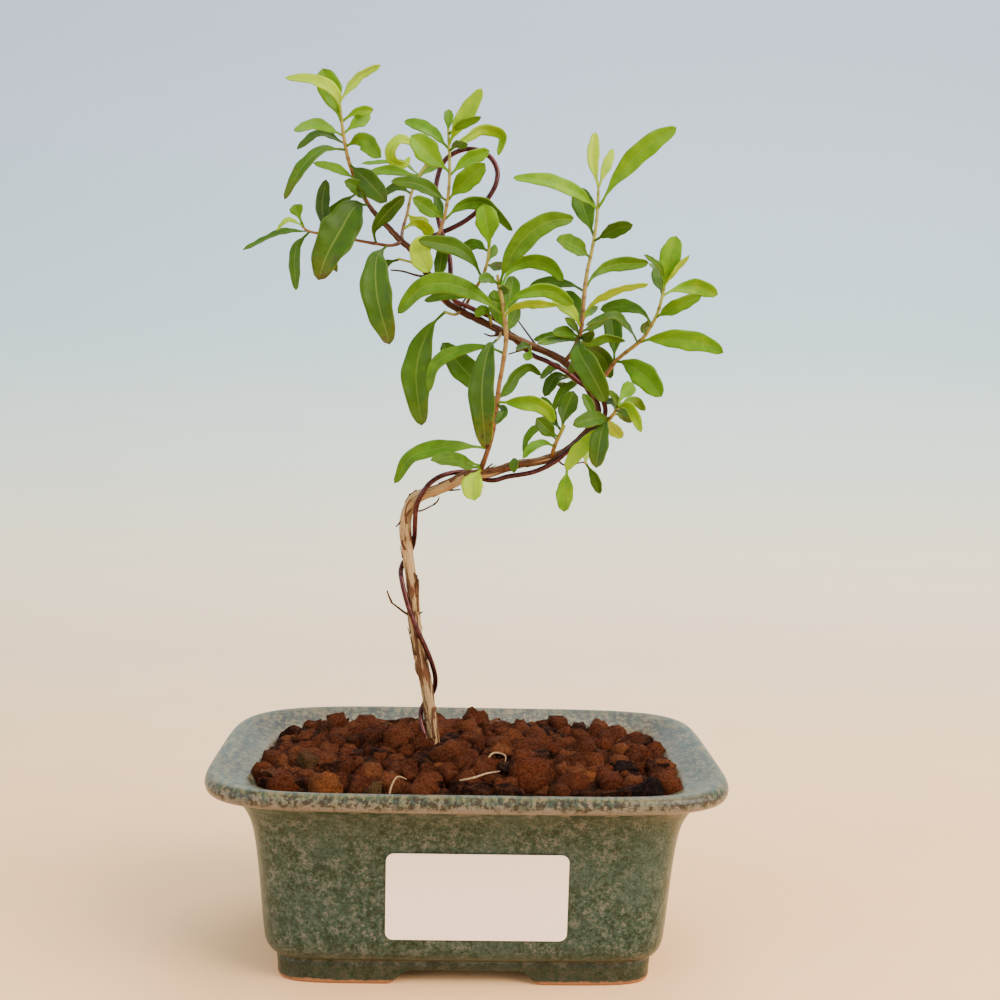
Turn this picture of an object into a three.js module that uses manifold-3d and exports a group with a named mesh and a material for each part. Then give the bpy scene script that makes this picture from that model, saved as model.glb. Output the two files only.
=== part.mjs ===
// Pomegranate bonsai growing in its glazed pot.
// Millimetres, +Z up, the front of the tree towards -Y. The origin is the middle of the
// pot's footprint, on the surface that the pot stands on.
import * as THREE from 'three';
import { mergeVertices } from 'three/addons/utils/BufferGeometryUtils.js';
import Module from 'manifold-3d';

const wasm = await Module();
wasm.setup();

// ---------------------------------------------------------------- driving dimensions

const POT_HALF_WIDTH = 73.5;
const POT_HALF_DEPTH = 55;
// How square the pot is in plan: the power of a superellipse.
const SQUARENESS = { foot: 9, wall: 7, lip: 5.5, softLip: 4.4 };
const FOOT_TOP_Z = 7.5;
const LIP_BOTTOM_Z = 53;
const POT_SIDES = 36;
const POT_FLOOR_Z = 9;
const FOOT_OPENING_HEIGHT = 4;
const FOOT_WALL = 8.5;
const FRONT_OPENING = { bottom: 21.6, top: 15.3 };
const SIDE_OPENING = { bottom: 13, top: 8 };
const DRAIN_HOLE = { radius: 6, x: 26, sides: 16 };

// Rows of [inset from the lip's outer edge, height].
const POT_OUTSIDE = [
  [20.3, 0], [20.1, 5.8], [19.6, 7], [17.4, 8.4], [16.3, 11.6], [15.3, 22], [14.2, 34],
  [12.5, 44.5], [8.6, 51.4], [1.4, 54.3], [0, 57.1], [2, 59],
];
const POT_INSIDE = [[12.2, 55.6], [15.2, 49.5], [19.6, 33], [21.6, 12.6], [26.4, POT_FLOOR_Z]];

const CLEARANCE = 0.3;
const SCREEN = { side: 19, thickness: 0.8, holes: 2, hole: 6.6 };
const LABEL = { x: 3, z: 27.2, width: 50, height: 25, corner: 2.2, thickness: 0.4, rows: 8 };

const SOIL = { rim: 54.6, crown: 57.2, halfWidth: 60.2, halfDepth: 42.2, edgeInset: 14, edgeZ: 52.6 };
const GRANULE = { pitch: 9.4, rowPitch: 8.1, jitter: 2.5, valley: -2, lowest: 0.1, highest: 2.9, tilt: 1.1 };
const PLANT_DEPTH_Z = 33;

const BLADE_THICKNESS = 0.7;
const BLADE_STEP = 6.2;
const BLADE_FOLD = THREE.MathUtils.degToRad(17);
const FOLDED_FROM = 20;
const BLADE_WAVE = 0.075;
const BLADE_STALK = 0.1;
// A blade narrows slowly into its stalk and is blunt at its tip.
const BLADE_BLUNTNESS = { base: 0.95, tip: 0.45 };
const STALK_HALF_WIDTH = 0.42;

// A stem's few corners stand out, so that its section is as large as a round one's.
const STEM = { sides: 4, fullness: 1.14 };
const TRUNK_SIDES = 7;
const TWIG_SIDES = 4;
const SHOOT_DEPTH = 2;
const WIRE = { radius: 0.75, sides: 8, steps: 72 };

// The tree is set out on an elevation: [x, z] on the upright plane y = TREE_PLANE_Y, as
// seen from VIEW_POINT in front of it. A third number brings the point forward, towards
// VIEW_POINT, or takes it back where it is negative.
const TREE_PLANE_Y = 5;
const VIEW_POINT = new THREE.Vector3(-6, -428, 166.4);

// ---------------------------------------------------------------- the tree, set out

// Trunk and main branch: [x, z, forward, radius].
const TRUNK = [
  [-9.6, PLANT_DEPTH_Z, 0, 2.1], [-10.2, 57, 0, 2.05], [-10.5, 61.7, 0, 1.85], [-11.8, 71.1, 0.2, 1.8],
  [-12.6, 75.8, 0.4, 1.85], [-13.4, 79.6, 0.6, 1.9], [-14.1, 82.2, 0.7, 2.15], [-14.5, 84.6, 0.8, 1.9],
  [-16.1, 92.9, 1, 1.75], [-16.8, 99, 1.3, 1.8], [-17.3, 105.2, 1.5, 1.8], [-18, 109.8, 1.6, 1.7],
  [-18.9, 115.3, 1.8, 1.65], [-19.5, 119.9, 2, 1.7], [-19.9, 123.4, 2.2, 1.85],
  [-19.8, 126.8, 2.5, 1.75], [-19.1, 129.6, 2.8, 1.7], [-17.8, 132, 3.1, 1.8],
  [-15.4, 133.9, 3.4, 1.75], [-12.2, 135.1, 3.7, 1.6], [-8.8, 136.4, 4, 1.55],
  [-5.6, 137.9, 4.2, 1.5], [-2.6, 139.6, 4.2, 1.45], [0.6, 140.6, 4.2, 1.4], [3.8, 140.9, 4.1, 1.5],
  [7, 141.7, 3.9, 1.3], [13, 143.7, 3.3, 1.3], [19.2, 144.9, 2.5, 1.1], [25.4, 146.8, 1.3, 1.1],
  [28.6, 148.8, 0.6, 1.05], [32, 152, -0.3, 1.05], [35, 155.6, -1.2, 1.05], [36.8, 159.2, -1.8, 1.1],
  [36.3, 162.3, -2, 1.1], [33.2, 167.9, -1.9, 1.1], [29.3, 172.5, -1.4, 1.1], [26.4, 174.7, -1, 1.05],
  [22.9, 176.6, -0.5, 1.05], [14.7, 180, 0.9, 1.1], [5, 184.4, 2, 1], [-5, 189.2, 2.1, 1],
  [-9, 191.6, 1.9, 0.95], [-12, 194.8, 1.5, 0.95], [-14.2, 198.8, 1.2, 1.05], [-17, 203.2, 0.8, 0.88],
  [-20, 206.8, 0.3, 0.85], [-23.4, 209.8, -0.3, 0.88], [-30.8, 217.2, -1.6, 0.72],
];

// Dead twigs, spurs and bark flakes that stay on the trunk: [radius, [x, z, forward], ...].
const TWIGS = [
  [0.42, [-16.9, 97, 1], [-19.4, 98.3, 1.5], [-21.2, 99.6, 1.8], [-23.5, 101.3, 2]],
  [0.34, [-23.5, 101.3, 2], [-24.6, 103.8, 2.2], [-25, 105, 2.4]],
  [0.36, [-16.5, 97.6, 2], [-14.2, 98.7, 2.6]],
  [0.34, [-17.3, 110.6, 2.6], [-16.1, 109, 3.2], [-15.8, 106.4, 3.4]],
  [0.36, [-19.6, 130.4, 3], [-19.3, 132.4, 3], [-18.7, 134.4, 3]],
  [0.32, [-20.4, 127, 3], [-22.7, 124.2, 3.6]],
  [0.36, [-19.2, 129.8, 2.4], [-15.6, 129.2, -1.4], [-11.6, 131.1, -1.4]],
  [0.32, [-11.6, 131.1, -1.4], [-10.4, 132.2, -1.2], [-9.9, 133.5, -1]],
  [0.36, [-9.4, 136, 4], [-6.6, 135.6, 4.6], [-3.6, 135.9, 5]],
  [0.32, [3.2, 141.6, 4.6], [5.9, 143.9, 5.4]],
  [0.38, [-14.2, 199, 1.4], [-17, 198.9, 2], [-22.3, 200.2, 2.2], [-25.6, 200.4, 2]],
  [0.42, [-5.2, 189.4, 1.4], [-4.2, 191.3, 0.2], [-3.1, 192.8, 0]],
  [0.95, [6.6, 183.2, 2.2], [6.2, 182, 3]],
  [0.34, [6.2, 182, 3], [4.2, 181.8, 3.6], [2.4, 182.5, 3.8]],
  [0.32, [4.4, 185, 1.4], [3, 189.8, 0.2]],
  [0.32, [18.4, 178.8, 0], [10.8, 188.6, -2]],
  [0.34, [17, 178.9, 0.6], [9.8, 176.5, 2.4]],
  [0.34, [24.4, 146.4, 1.4], [27, 144, 1.2], [30.4, 144.3, 1], [33, 144.9, 0.8]],
];

// Centre line of the training wire, from the soil up the tree: [x, z, forward].
const WIRE_LINE = [
  [-8.6, 40, 3.6], [-9.8, 52, 3.6], [-11.4, 57.6, 3.4], [-13.2, 61.8, 2.6], [-14.2, 66, 0.6],
  [-13.8, 69.6, -1.9], [-12, 72, -2.9], [-10.4, 75, -1.7], [-10, 78.4, 0.9], [-10.9, 82.4, 2.5],
  [-13.1, 87.8, 3.5], [-15.7, 93.2, 4], [-18, 98.6, 4], [-19.6, 103.8, 3.4], [-20.6, 108, 2.6],
  [-21, 111, 0.9], [-20.3, 113.5, -0.7], [-19, 115.7, -1.2], [-17.7, 118.2, -0.2],
  [-17.1, 121.4, 2.4], [-17, 125.4, 4.2], [-16.8, 129.4, 5.1], [-16, 132.6, 6.1],
  [-14.8, 134.8, 6.6], [-13.4, 136.9, 6.2], [-11.4, 138.7, 5.4], [-8.8, 140.1, 4.4],
  [-5.8, 140.9, 3], [-2.6, 141.2, 1.8], [0.4, 140.4, 1.4], [3.4, 139.1, 2], [6.6, 138.9, 2.8],
  [10.2, 140, 3.2], [14, 140.7, 3], [17.8, 141.5, 2.8], [21.4, 143, 2.8], [25, 145.2, 3.4],
  [28.4, 148.2, 3.1], [31.6, 151, 2.4], [34.7, 153.4, 1.5], [37.8, 156.3, -0.1],
  [39.2, 159.8, -1], [38.5, 163.1, -0.3], [36.2, 165.4, 0.4], [33.6, 167.2, 0.6],
  [31.2, 168.6, 0], [27.6, 171.4, 0.2], [24.2, 173.3, 0.8], [20.8, 174.9, 1], [17.4, 176.2, -0.2],
  [14, 178.7, -1.6], [10.8, 181.6, -1.4], [8.3, 185, -0.3], [4.9, 187.2, 1.5], [1, 188.7, 3.3],
  [-3, 190.5, 4], [-6.4, 191.9, 4.2], [-8, 194.6, 4], [-7.9, 199, 3.4], [-8.2, 204, 2.2],
  [-9.8, 209, 0.4], [-11.4, 214, -1], [-12.4, 219, -2.2], [-12.8, 223.4, -3], [-12.2, 228, -3.4],
  [-11, 231.6, -3.6], [-8.4, 234.4, -3.8], [-4, 236.2, -4], [0.4, 235.7, -4], [3.7, 233.4, -3.8],
  [5.3, 230, -3.6], [4.9, 226.2, -3.2], [2.8, 222.2, -2.8], [-0.2, 218.4, -2.4],
  [-3.8, 215.4, -2.2], [-8, 213, -2], [-12, 211.2, -2], [-15.4, 209, -1.8], [-17.6, 206.6, -1.4],
];

// Every leafy shoot is its stem, given as [x, z, forward, radius], and its leaves.
// A leaf is [width, roll in degrees, place of its broadest point, then its midrib from the
// stem to the tip as [x, z, forward]]. Roll 0 shows the blade's upper side to the front.
const SHOOTS = [
  {
    name: 'shoot_top_left',
    stem: [[-30.8, 217.2, -1.6, 0.8], [-32.6, 219.6, -1.6, 0.75], [-36, 226, -1, 0.7],
      [-38.3, 231.5, 0, 0.65],
      [-39.6, 237, 0.4, 0.6], [-40.6, 243, 0.6, 0.55], [-41.4, 249, 0.8, 0.5]],
    leaves: [
      [7.2, 12, 0.62, [-40.6, 242.6, 0.6], [-43.9, 251.2, 2], [-46.4, 258.2, 3]],
      [3.9, 35, 0.5, [-41, 245.8, 0.7], [-42.6, 251.4, 5], [-48.6, 254.6, 6.4], [-57.2, 255.2, 7]],
      [3.8, 45, 0.5, [-41.3, 248.6, 0.8], [-36.2, 256.1, -1], [-29.5, 259.7, -3]],
      [3.1, 20, 0.65, [-40.6, 243, 0.6], [-36.6, 246, 1], [-31.3, 246.8, 0]],
      [4.6, 25, 0.6, [-40, 239.5, 0.5], [-36.5, 243, 0], [-32.4, 246, -2]],
      [3.8, 30, 0.5, [-40, 239, 0.4], [-47.3, 241.9, 3], [-54.5, 240.1, 6]],
      [3.5, 45, 0.5, [-39.6, 236.8, 0.4], [-47, 239.4, -2], [-53.6, 234.8, -3]],
      [4.1, 35, 0.5, [-39.3, 235, 0.3], [-46, 234.8, 3], [-52, 229.4, 5], [-57, 220.2, 6]],
      [5.5, 15, 0.55, [-39.3, 236, 0.3], [-34.4, 238, 2], [-29, 233, 3]],
      [3.1, 30, 0.5, [-36.4, 226.8, -0.8], [-42, 229.4, 1], [-48.8, 231, 2]],
      [7, 10, 0.5, [-38, 230.8, 0], [-32.8, 226.2, 1.6], [-27.1, 220.2, 3]],
      [4.6, 20, 0.55, [-33.2, 220.6, -1.5], [-35.2, 223.6, 1], [-39.6, 226, 2.4]],
      [11.2, 8, 0.45, [-32.4, 219.4, -1.6], [-36.3, 218.4, 0.8], [-40.4, 211.7, 2.3], [-44.5, 204, 3],
        [-46.8, 197, 3]],
      [5, 30, 0.5, [-34.6, 223.4, -1.3], [-41, 218.4, -3.6], [-44.6, 211, -5], [-41.4, 199.4, -5]],
    ],
  },
  {
    name: 'twig_left',
    stem: [[-22.4, 208.6, 0.6, 0.6], [-25.6, 207.6, 1.4, 0.55], [-30, 208, 1.6, 0.55],
      [-36.5, 209, 1.2, 0.5],
      [-43, 210.2, 0.8, 0.48], [-50, 211.2, 0.6, 0.45], [-51.8, 212.6, 0.6, 0.42]],
    leaves: [
      [4.4, 10, 0.8, [-51.4, 212.4, 0.6], [-54.2, 218.8, 1.4]],
      [2.8, 65, 0.5, [-51.4, 212.5, 0.6], [-55.4, 214, 2], [-59.2, 211.2, 3]],
      [3.5, 62, 0.5, [-49.6, 211.1, 0.6], [-57, 210.6, -1], [-69, 205.2, -3]],
      [3.7, 20, 0.5, [-49.6, 211, 0.6], [-53.4, 206, 2], [-53.3, 193.8, 3]],
      [4.6, 20, 0.6, [-30, 208.2, 1.6], [-30.6, 212, 3.4], [-26.6, 217.6, 4.6], [-21.8, 222.2, 5]],
      [9.2, 8, 0.5, [-26.6, 207.6, 1.5], [-29.6, 204, 4.6], [-29.4, 193, 6], [-25.4, 178.6, 6.4]],
      [4.6, 14, 0.55, [-41.4, 209.9, 0.9], [-44.8, 213.4, 0.2], [-46, 218.8, -0.6],
        [-44.9, 226.3, -1.2]],
    ],
  },
  {
    name: 'leaf_upper_left_back',
    stem: [[-15.2, 199.8, 0.8, 0.5], [-19, 202.6, -2.4, 0.42], [-23.4, 203.8, -3.4, 0.42]],
    leaves: [
      [5.5, 12, 0.5, [-22.8, 203.7, -3.3], [-27.4, 201.6, -4.4], [-29, 187.6, -5.6]],
    ],
  },
  {
    name: 'shoot_upper_back',
    stem: [[-22.4, 208.9, -0.3, 0.6], [-22.3, 212, -3, 0.55], [-21, 217, -5, 0.5],
      [-19.8, 223, -6.4, 0.5],
      [-17.6, 228.4, -7.4, 0.48], [-15.2, 232.4, -8, 0.45], [-14.6, 235, -8.4, 0.42]],
    leaves: [
      [3.6, 25, 0.5, [-14.8, 234, -8.2], [-19.8, 237.3, -7.6], [-23.6, 238.5, -7], [-25.9, 235.7, -6.6],
        [-25.7, 232.6, -7], [-22.3, 231.2, -7.6], [-20.4, 233.5, -8.4]],
      [3.2, 20, 0.5, [-17.8, 228, -7.3], [-26.7, 229.4, -5.6], [-33.1, 228.2, -4]],
      [2.8, 60, 0.5, [-17.8, 228.2, -7.3], [-22.5, 231.4, -9.4], [-34.6, 231.2, -12]],
      [2.6, 20, 0.6, [-17.6, 227.8, -7.4], [-15, 230.2, -10], [-11.6, 231.6, -12]],
      [3.1, 20, 0.6, [-15.4, 231.8, -8], [-16, 234.4, -10], [-18, 238, -12]],
      [3.1, 30, 0.55, [-19.8, 222.8, -6.4], [-24, 224.6, -8], [-28.2, 222.4, -10]],
      [3.9, 15, 0.55, [-21, 217, -5], [-19, 215.4, -7], [-14.6, 214.4, -10]],
      [3.9, 25, 0.5, [-22.2, 212.4, -3.2], [-18, 214.6, -4.6], [-14.2, 211.4, -6], [-17.6, 207, -6.4]],
    ],
  },
  {
    name: 'shoot_upper_middle',
    stem: [[-17, 203.6, 0.8, 0.65], [-14.4, 207.2, 3, 0.62], [-11.6, 211.4, 3.4, 0.6],
      [-10.2, 215.6, 3.4, 0.58],
      [-9.3, 220.4, 3.6, 0.55], [-8.8, 226, 3.6, 0.52], [-8.8, 232, 3.4, 0.5], [-9.1, 237.4, 3.2, 0.48],
      [-9.4, 242, 3, 0.45]],
    leaves: [
      [5, 12, 0.52, [-9.2, 237.2, 3.2], [-6.6, 242.8, 4.6], [0.2, 253.8, 5.6]],
      [3.1, 30, 0.55, [-9.3, 240.4, 3.1], [-5, 243.6, 6], [0.2, 245.6, 8]],
      [3.1, 15, 0.6, [-9.4, 241, 3], [-9.4, 247.6, 2.4]],
      [4.4, 30, 0.5, [-9, 236, 3.2], [-13.8, 240.4, 1.6], [-17.8, 242.6, 0], [-22.3, 243.7, -1.6]],
      [7.4, 12, 0.6, [-8.8, 229.4, 3.5], [-14.8, 234.5, 5.4], [-20.2, 239.7, 6.6]],
      [4.6, 18, 0.6, [-8.9, 228.2, 3.6], [-4.1, 232.8, 3.4], [2.9, 236, 3]],
      [6.6, 14, 0.55, [-8.9, 221.4, 3.6], [-4.6, 226.6, 5.6], [1.6, 232.2, 7]],
      [4, 35, 0.5, [-9, 235.4, 3.2], [-4.4, 239.2, 1], [1.4, 242.2, -1], [6.8, 240.2, -2],
        [5.4, 234.6, -2]],
      [3.1, 35, 0.6, [-9, 235.6, 3.2], [-6.4, 237.6, 6], [-3.6, 237.6, 8]],
      [4.4, 30, 0.42, [-9.9, 215.6, 3.4], [-5.2, 219.8, 2.8], [1.4, 220.8, 1.8], [10.2, 212.8, 0.4]],
      [4.6, 20, 0.45, [-9.3, 221, 3.6], [-17.5, 225.5, 5], [-25.9, 226.3, 6]],
      [5, 20, 0.55, [-10.2, 215.8, 3.4], [-15.1, 218.8, 6], [-19.5, 221.6, 8]],
      [2.6, 10, 0.6, [-10.3, 215, 3.4], [-11.4, 219, 2], [-12.8, 222.4, 0.6]],
      [6.8, 10, 0.6, [-12.4, 210.2, 3.3], [-15.8, 209.6, 4.6], [-16.8, 205.4, 5.4], [-14.2, 200, 5.6]],
      [4.1, 10, 0.55, [-12.2, 210.6, 3.3], [-10.6, 207.2, 3.5], [-11.4, 198.6, 3.8]],
    ],
  },
  {
    name: 'shoot_upper_centre',
    stem: [[-4, 188.7, 2.1, 0.6], [-3.2, 190.6, -0.2, 0.58], [-1, 194.8, 1.8, 0.55],
      [1.4, 198.8, 3.4, 0.52],
      [2.8, 203, 3.8, 0.5], [3.4, 208.6, 4, 0.48], [3.7, 213, 4, 0.45]],
    leaves: [
      [5.2, 12, 0.55, [1.4, 198.8, 3.4], [-1, 203.2, 4.6], [-5.4, 207, 5.6], [-17.6, 209.4, 7.2]],
      [7.2, 10, 0.6, [3.3, 207.4, 4], [2.8, 213, 5], [1.4, 220.4, 6]],
      [2.4, 30, 0.5, [3.6, 210, 4], [4.4, 217.2, 4.6]],
      [3.9, 15, 0.55, [3.2, 206.6, 3.9], [-0.6, 208.4, 1.6], [-4.8, 207.4, -0.4]],
      [2.8, 30, 0.6, [3.2, 203.8, 3.8], [5.4, 208.4, 1]],
      [3.3, 30, 0.55, [2.8, 202.6, 3.8], [5.4, 202.6, 1], [8, 202.2, -1.4]],
    ],
  },
  {
    name: 'shoot_centre',
    stem: [[1.8, 141, 4.2, 0.95], [2.6, 142.8, 6.4, 0.9], [3.5, 145.4, 7.2, 0.85],
      [4.5, 148.6, 7.4, 0.82],
      [5.4, 152, 7.6, 0.8], [6.2, 157, 7.8, 0.78], [6.8, 162, 8.2, 0.85], [7.2, 167, 8.4, 0.74],
      [8, 172, 8.6, 0.72], [8.6, 176.4, 8.8, 0.78], [9, 180.4, 8.6, 0.74], [8.8, 184.4, 8.4, 0.72],
      [8.3, 188.2, 8, 0.74], [7.4, 193, 7.6, 0.66], [6.5, 196.6, 7.2, 0.64], [6, 199.8, 7, 0.5]],
    leaves: [
      [6.1, 12, 0.5, [8.2, 187.6, 8], [2, 192.6, 9.6], [-8, 196.8, 10], [-16, 195.6, 9.6],
        [-23.2, 187.8, 8.6]],
      [3.5, 25, 0.6, [7.6, 192, 7.6], [-2, 193.8, 6.6], [-9, 193.4, 6], [-15.6, 191.6, 5]],
      [6.8, 12, 0.5, [6.6, 196.4, 7.2], [8.4, 202.4, 8.6], [13, 210, 9.4], [20, 215.6, 9.4],
        [28.2, 217, 8.4]],
      [4.8, 18, 0.6, [6.8, 195.6, 7.3], [10.4, 202, 5.2], [16.8, 204.2, 4.6], [22, 202.6, 4],
        [25.6, 198.6, 3.6]],
      [3.7, 30, 0.6, [6.4, 197, 7.2], [3.6, 198.6, 9.6], [0.6, 197.6, 12]],
      [2.8, 30, 0.6, [6.6, 196, 7.2], [9.6, 195.4, 10]],
      [4.6, 16, 0.6, [8.3, 188, 8], [9.6, 191.8, 8.4], [14, 194.6, 8.6], [21.4, 195.6, 8],
        [28.8, 191.6, 6.4]],
      [3.9, 52, 0.5, [8.3, 187.2, 8], [11, 190.6, 10], [17, 191.8, 11.6], [24.2, 191.6, 12]],
      [5.5, 12, 0.6, [8.3, 188.4, 8], [9.8, 193, 5], [10.8, 199.6, 3]],
      [5.5, 12, 0.6, [8.9, 183, 8.4], [6.6, 188.4, 6.4], [5, 195.4, 5]],
      [4.1, 20, 0.6, [8.9, 182.4, 8.4], [10.6, 186.6, 6.6], [12.2, 191, 5.4]],
      [4.1, 25, 0.55, [8.6, 176.6, 8.8], [3.4, 178.4, 7.4], [-5.6, 176.8, 7.4], [-11.6, 173, 7.8],
        [-13.6, 164.8, 8.4]],
      [8, 8, 0.55, [6.8, 163, 8.2], [0, 168.5, 5.4], [-5.5, 174, 4.2], [-9.9, 179.4, 4]],
      [4.8, 14, 0.5, [6.8, 162.2, 8.2], [12, 162.2, 9.4], [17, 162.2, 9.8], [21.4, 160.4, 9.4],
        [24, 156.6, 8.6]],
      [3.9, 25, 0.35, [6.9, 163, 8.2], [9.6, 166.2, 6], [12.8, 171, 4], [16.4, 172.8, 3],
        [19.8, 170.4, 2.4]],
      [3.1, 25, 0.55, [6.8, 161.6, 8.1], [8.8, 159.6, 11], [6.6, 155.6, 13.4]],
      [5, 22, 0.5, [4.4, 148.4, 7.4], [-3.1, 148.9, 8.6], [-9.6, 148.2, 9.2], [-18.4, 145.2, 9],
        [-23.3, 137.3, 8]],
      [4.2, 22, 0.55, [2.7, 143, 6.5], [-2.8, 144.4, 8.6], [-7.5, 145.2, 11], [-12.7, 144.5, 13]],
      [3.3, 25, 0.6, [2.6, 142.6, 6.4], [-1.4, 142.8, 10], [-5, 144.2, 13], [-11, 143.8, 16]],
      [6.6, 10, 0.6, [2.4, 142.4, 6.2], [0.1, 137.9, 8.4], [0.6, 132.6, 9.2]],
    ],
  },
  {
    name: 'leaf_centre_hanging',
    stem: [[7.4, 183, 1.8, 0.5], [6.9, 181.4, 4.6, 0.45], [6, 180.4, 7.2, 0.45]],
    leaves: [
      [7.6, 8, 0.55, [6.2, 180.6, 6.8], [4, 178, 11], [2.2, 167, 13], [3.7, 148.2, 13]],
    ],
  },
  {
    name: 'leaf_left_hanging',
    stem: [[-4.4, 188.9, 2.1, 0.5], [-6.6, 187.8, 3.6, 0.45], [-9.6, 188.6, 4, 0.45]],
    leaves: [
      [8.7, 8, 0.5, [-9.2, 188.5, 4], [-13.2, 184.4, 4.2], [-17.4, 172, 4.4], [-15.6, 154.8, 4.6]],
    ],
  },
  {
    name: 'leaf_small_top',
    stem: [[4.6, 184.6, 2, 0.45], [4.2, 187.4, 4.8, 0.42]],
    leaves: [
      [3.1, 15, 0.6, [4.2, 187, 4.6], [2.6, 189.6, 5], [-0.4, 187.4, 5.4]],
    ],
  },
  {
    name: 'leaf_pair_middle',
    stem: [[16.4, 179.3, 0.7, 0.42], [16.3, 177.8, 2.6, 0.42]],
    leaves: [
      [3.1, 12, 0.65, [16.4, 178, 2.4], [15.2, 174.8, 4]],
      [2.8, 45, 0.55, [16.4, 178.2, 2.2], [14.8, 179, 4], [12, 177.6, 5.4]],
    ],
  },
  {
    name: 'shoot_inner',
    stem: [[26.6, 174.7, -1, 0.8], [28.4, 177, -0.2, 0.78], [29.8, 179.8, 0.6, 0.74],
      [31, 183, 1, 0.72],
      [31.6, 187.6, 1, 0.68], [31.8, 192, 0.8, 0.66], [32, 195.8, 0.4, 0.76], [32.7, 202, 0, 0.62],
      [33.6, 206.4, -0.4, 0.6], [34.5, 212, -0.8, 0.56], [35.1, 218, -1.2, 0.54],
      [35.3, 226.6, -1.6, 0.46]],
    leaves: [
      [3.9, 15, 0.55, [35.3, 226, -1.6], [33.4, 234, -1.2], [33.8, 242.2, -1.6]],
      [3.3, 25, 0.55, [35.3, 226, -1.6], [37, 231.6, -3.4], [39.3, 237.4, -6]],
      [6.4, 10, 0.6, [35.2, 219.8, -1.3], [41.6, 230.5, 0.6], [49.8, 239, 2.4], [57.8, 244.2, 3]],
      [4.6, 20, 0.45, [35.2, 219.8, -1.3], [28.9, 224.4, 1.4], [20.3, 227.7, 3], [10, 228.2, 4]],
      [7, 12, 0.6, [34.4, 211.6, -0.8], [31.8, 218, -2.8], [29, 226, -4.6]],
      [4.8, 18, 0.6, [34.3, 210.4, -0.7], [38.8, 213.1, 2], [42.1, 214.7, 4], [45.8, 215.5, 5.4]],
      [5.8, 25, 0.55, [33.4, 205.6, -0.3], [29.6, 208.3, 3.4], [26.3, 209.8, 6], [23.3, 210.5, 8]],
      [4.6, 18, 0.6, [32.1, 196.4, 0.4], [35, 200.8, -1.6], [40, 203.6, -3], [50.8, 204.5, -5]],
      [3.9, 25, 0.6, [32, 195.6, 0.4], [28.2, 197.3, -1.4], [21.6, 197.9, -3.4], [15.5, 196.7, -5]],
      [4.2, 58, 0.55, [31.6, 188.6, 1], [34.4, 192, 3], [41, 196.4, 5], [51, 198.3, 6.6]],
      [5.5, 15, 0.6, [31.3, 185.2, 1], [29.8, 190, -2], [26.4, 195.6, -4]],
      [3.9, 18, 0.6, [31.2, 184.8, 1], [28.4, 189.4, 2.6], [22.4, 193, 3.6]],
      [2.8, 35, 0.6, [31.4, 186.6, 1], [33.6, 189.8, -2], [36, 190.8, -5]],
      [2.8, 30, 0.6, [31, 183.4, 1], [34.6, 185.4, -1.4], [39, 187.8, -3.4]],
      [2.6, 25, 0.6, [30.8, 182.8, 0.9], [29, 185.4, 3.4], [26.4, 187.6, 5.4]],
      [3.7, 18, 0.6, [30.6, 182.2, 0.8], [27, 183.4, 3.4], [22.6, 183, 5]],
      [3.1, 35, 0.6, [30.4, 181.6, 0.8], [24, 182.2, -2], [17.2, 181, -4.6]],
      [3.3, 40, 0.6, [30.2, 181, 0.7], [25, 181.2, 3], [18.4, 179.8, 5.2]],
      [3.3, 15, 0.6, [30.6, 182, 0.8], [33, 182, 3.6], [35, 184, 5.4]],
      [3.1, 30, 0.5, [30.2, 180.8, 0.7], [34.4, 180.4, -2], [39, 182, -3], [44.6, 181.2, -3.6]],
      [7.4, 8, 0.6, [30.6, 182, 0.8], [31, 177.4, 6], [34.6, 171.6, 8], [39.4, 163, 8]],
      [5.2, 15, 0.6, [30, 180.2, 0.7], [34.6, 178.6, -3.6], [38.6, 175.6, -6], [40.6, 170, -7]],
      [3.3, 15, 0.6, [29.6, 179.4, 0.6], [30.8, 175.6, 4.4], [28, 171.2, 5]],
    ],
  },
  {
    name: 'shoot_right',
    stem: [[34.9, 165.4, -2, 0.75], [37.6, 169.2, -4.2, 0.72], [40, 172.6, -4.4, 0.7],
      [41.5, 174.8, -4, 0.78],
      [44, 177.2, -3.4, 0.66], [48.3, 180.7, -2.2, 0.72], [50.4, 183, -1.4, 0.62],
      [52, 185.8, -0.8, 0.64],
      [53.4, 188.4, -0.4, 0.58], [54.6, 192, 0, 0.54], [55.4, 196, 0.2, 0.5], [56.1, 200, 0.4, 0.45]],
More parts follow.
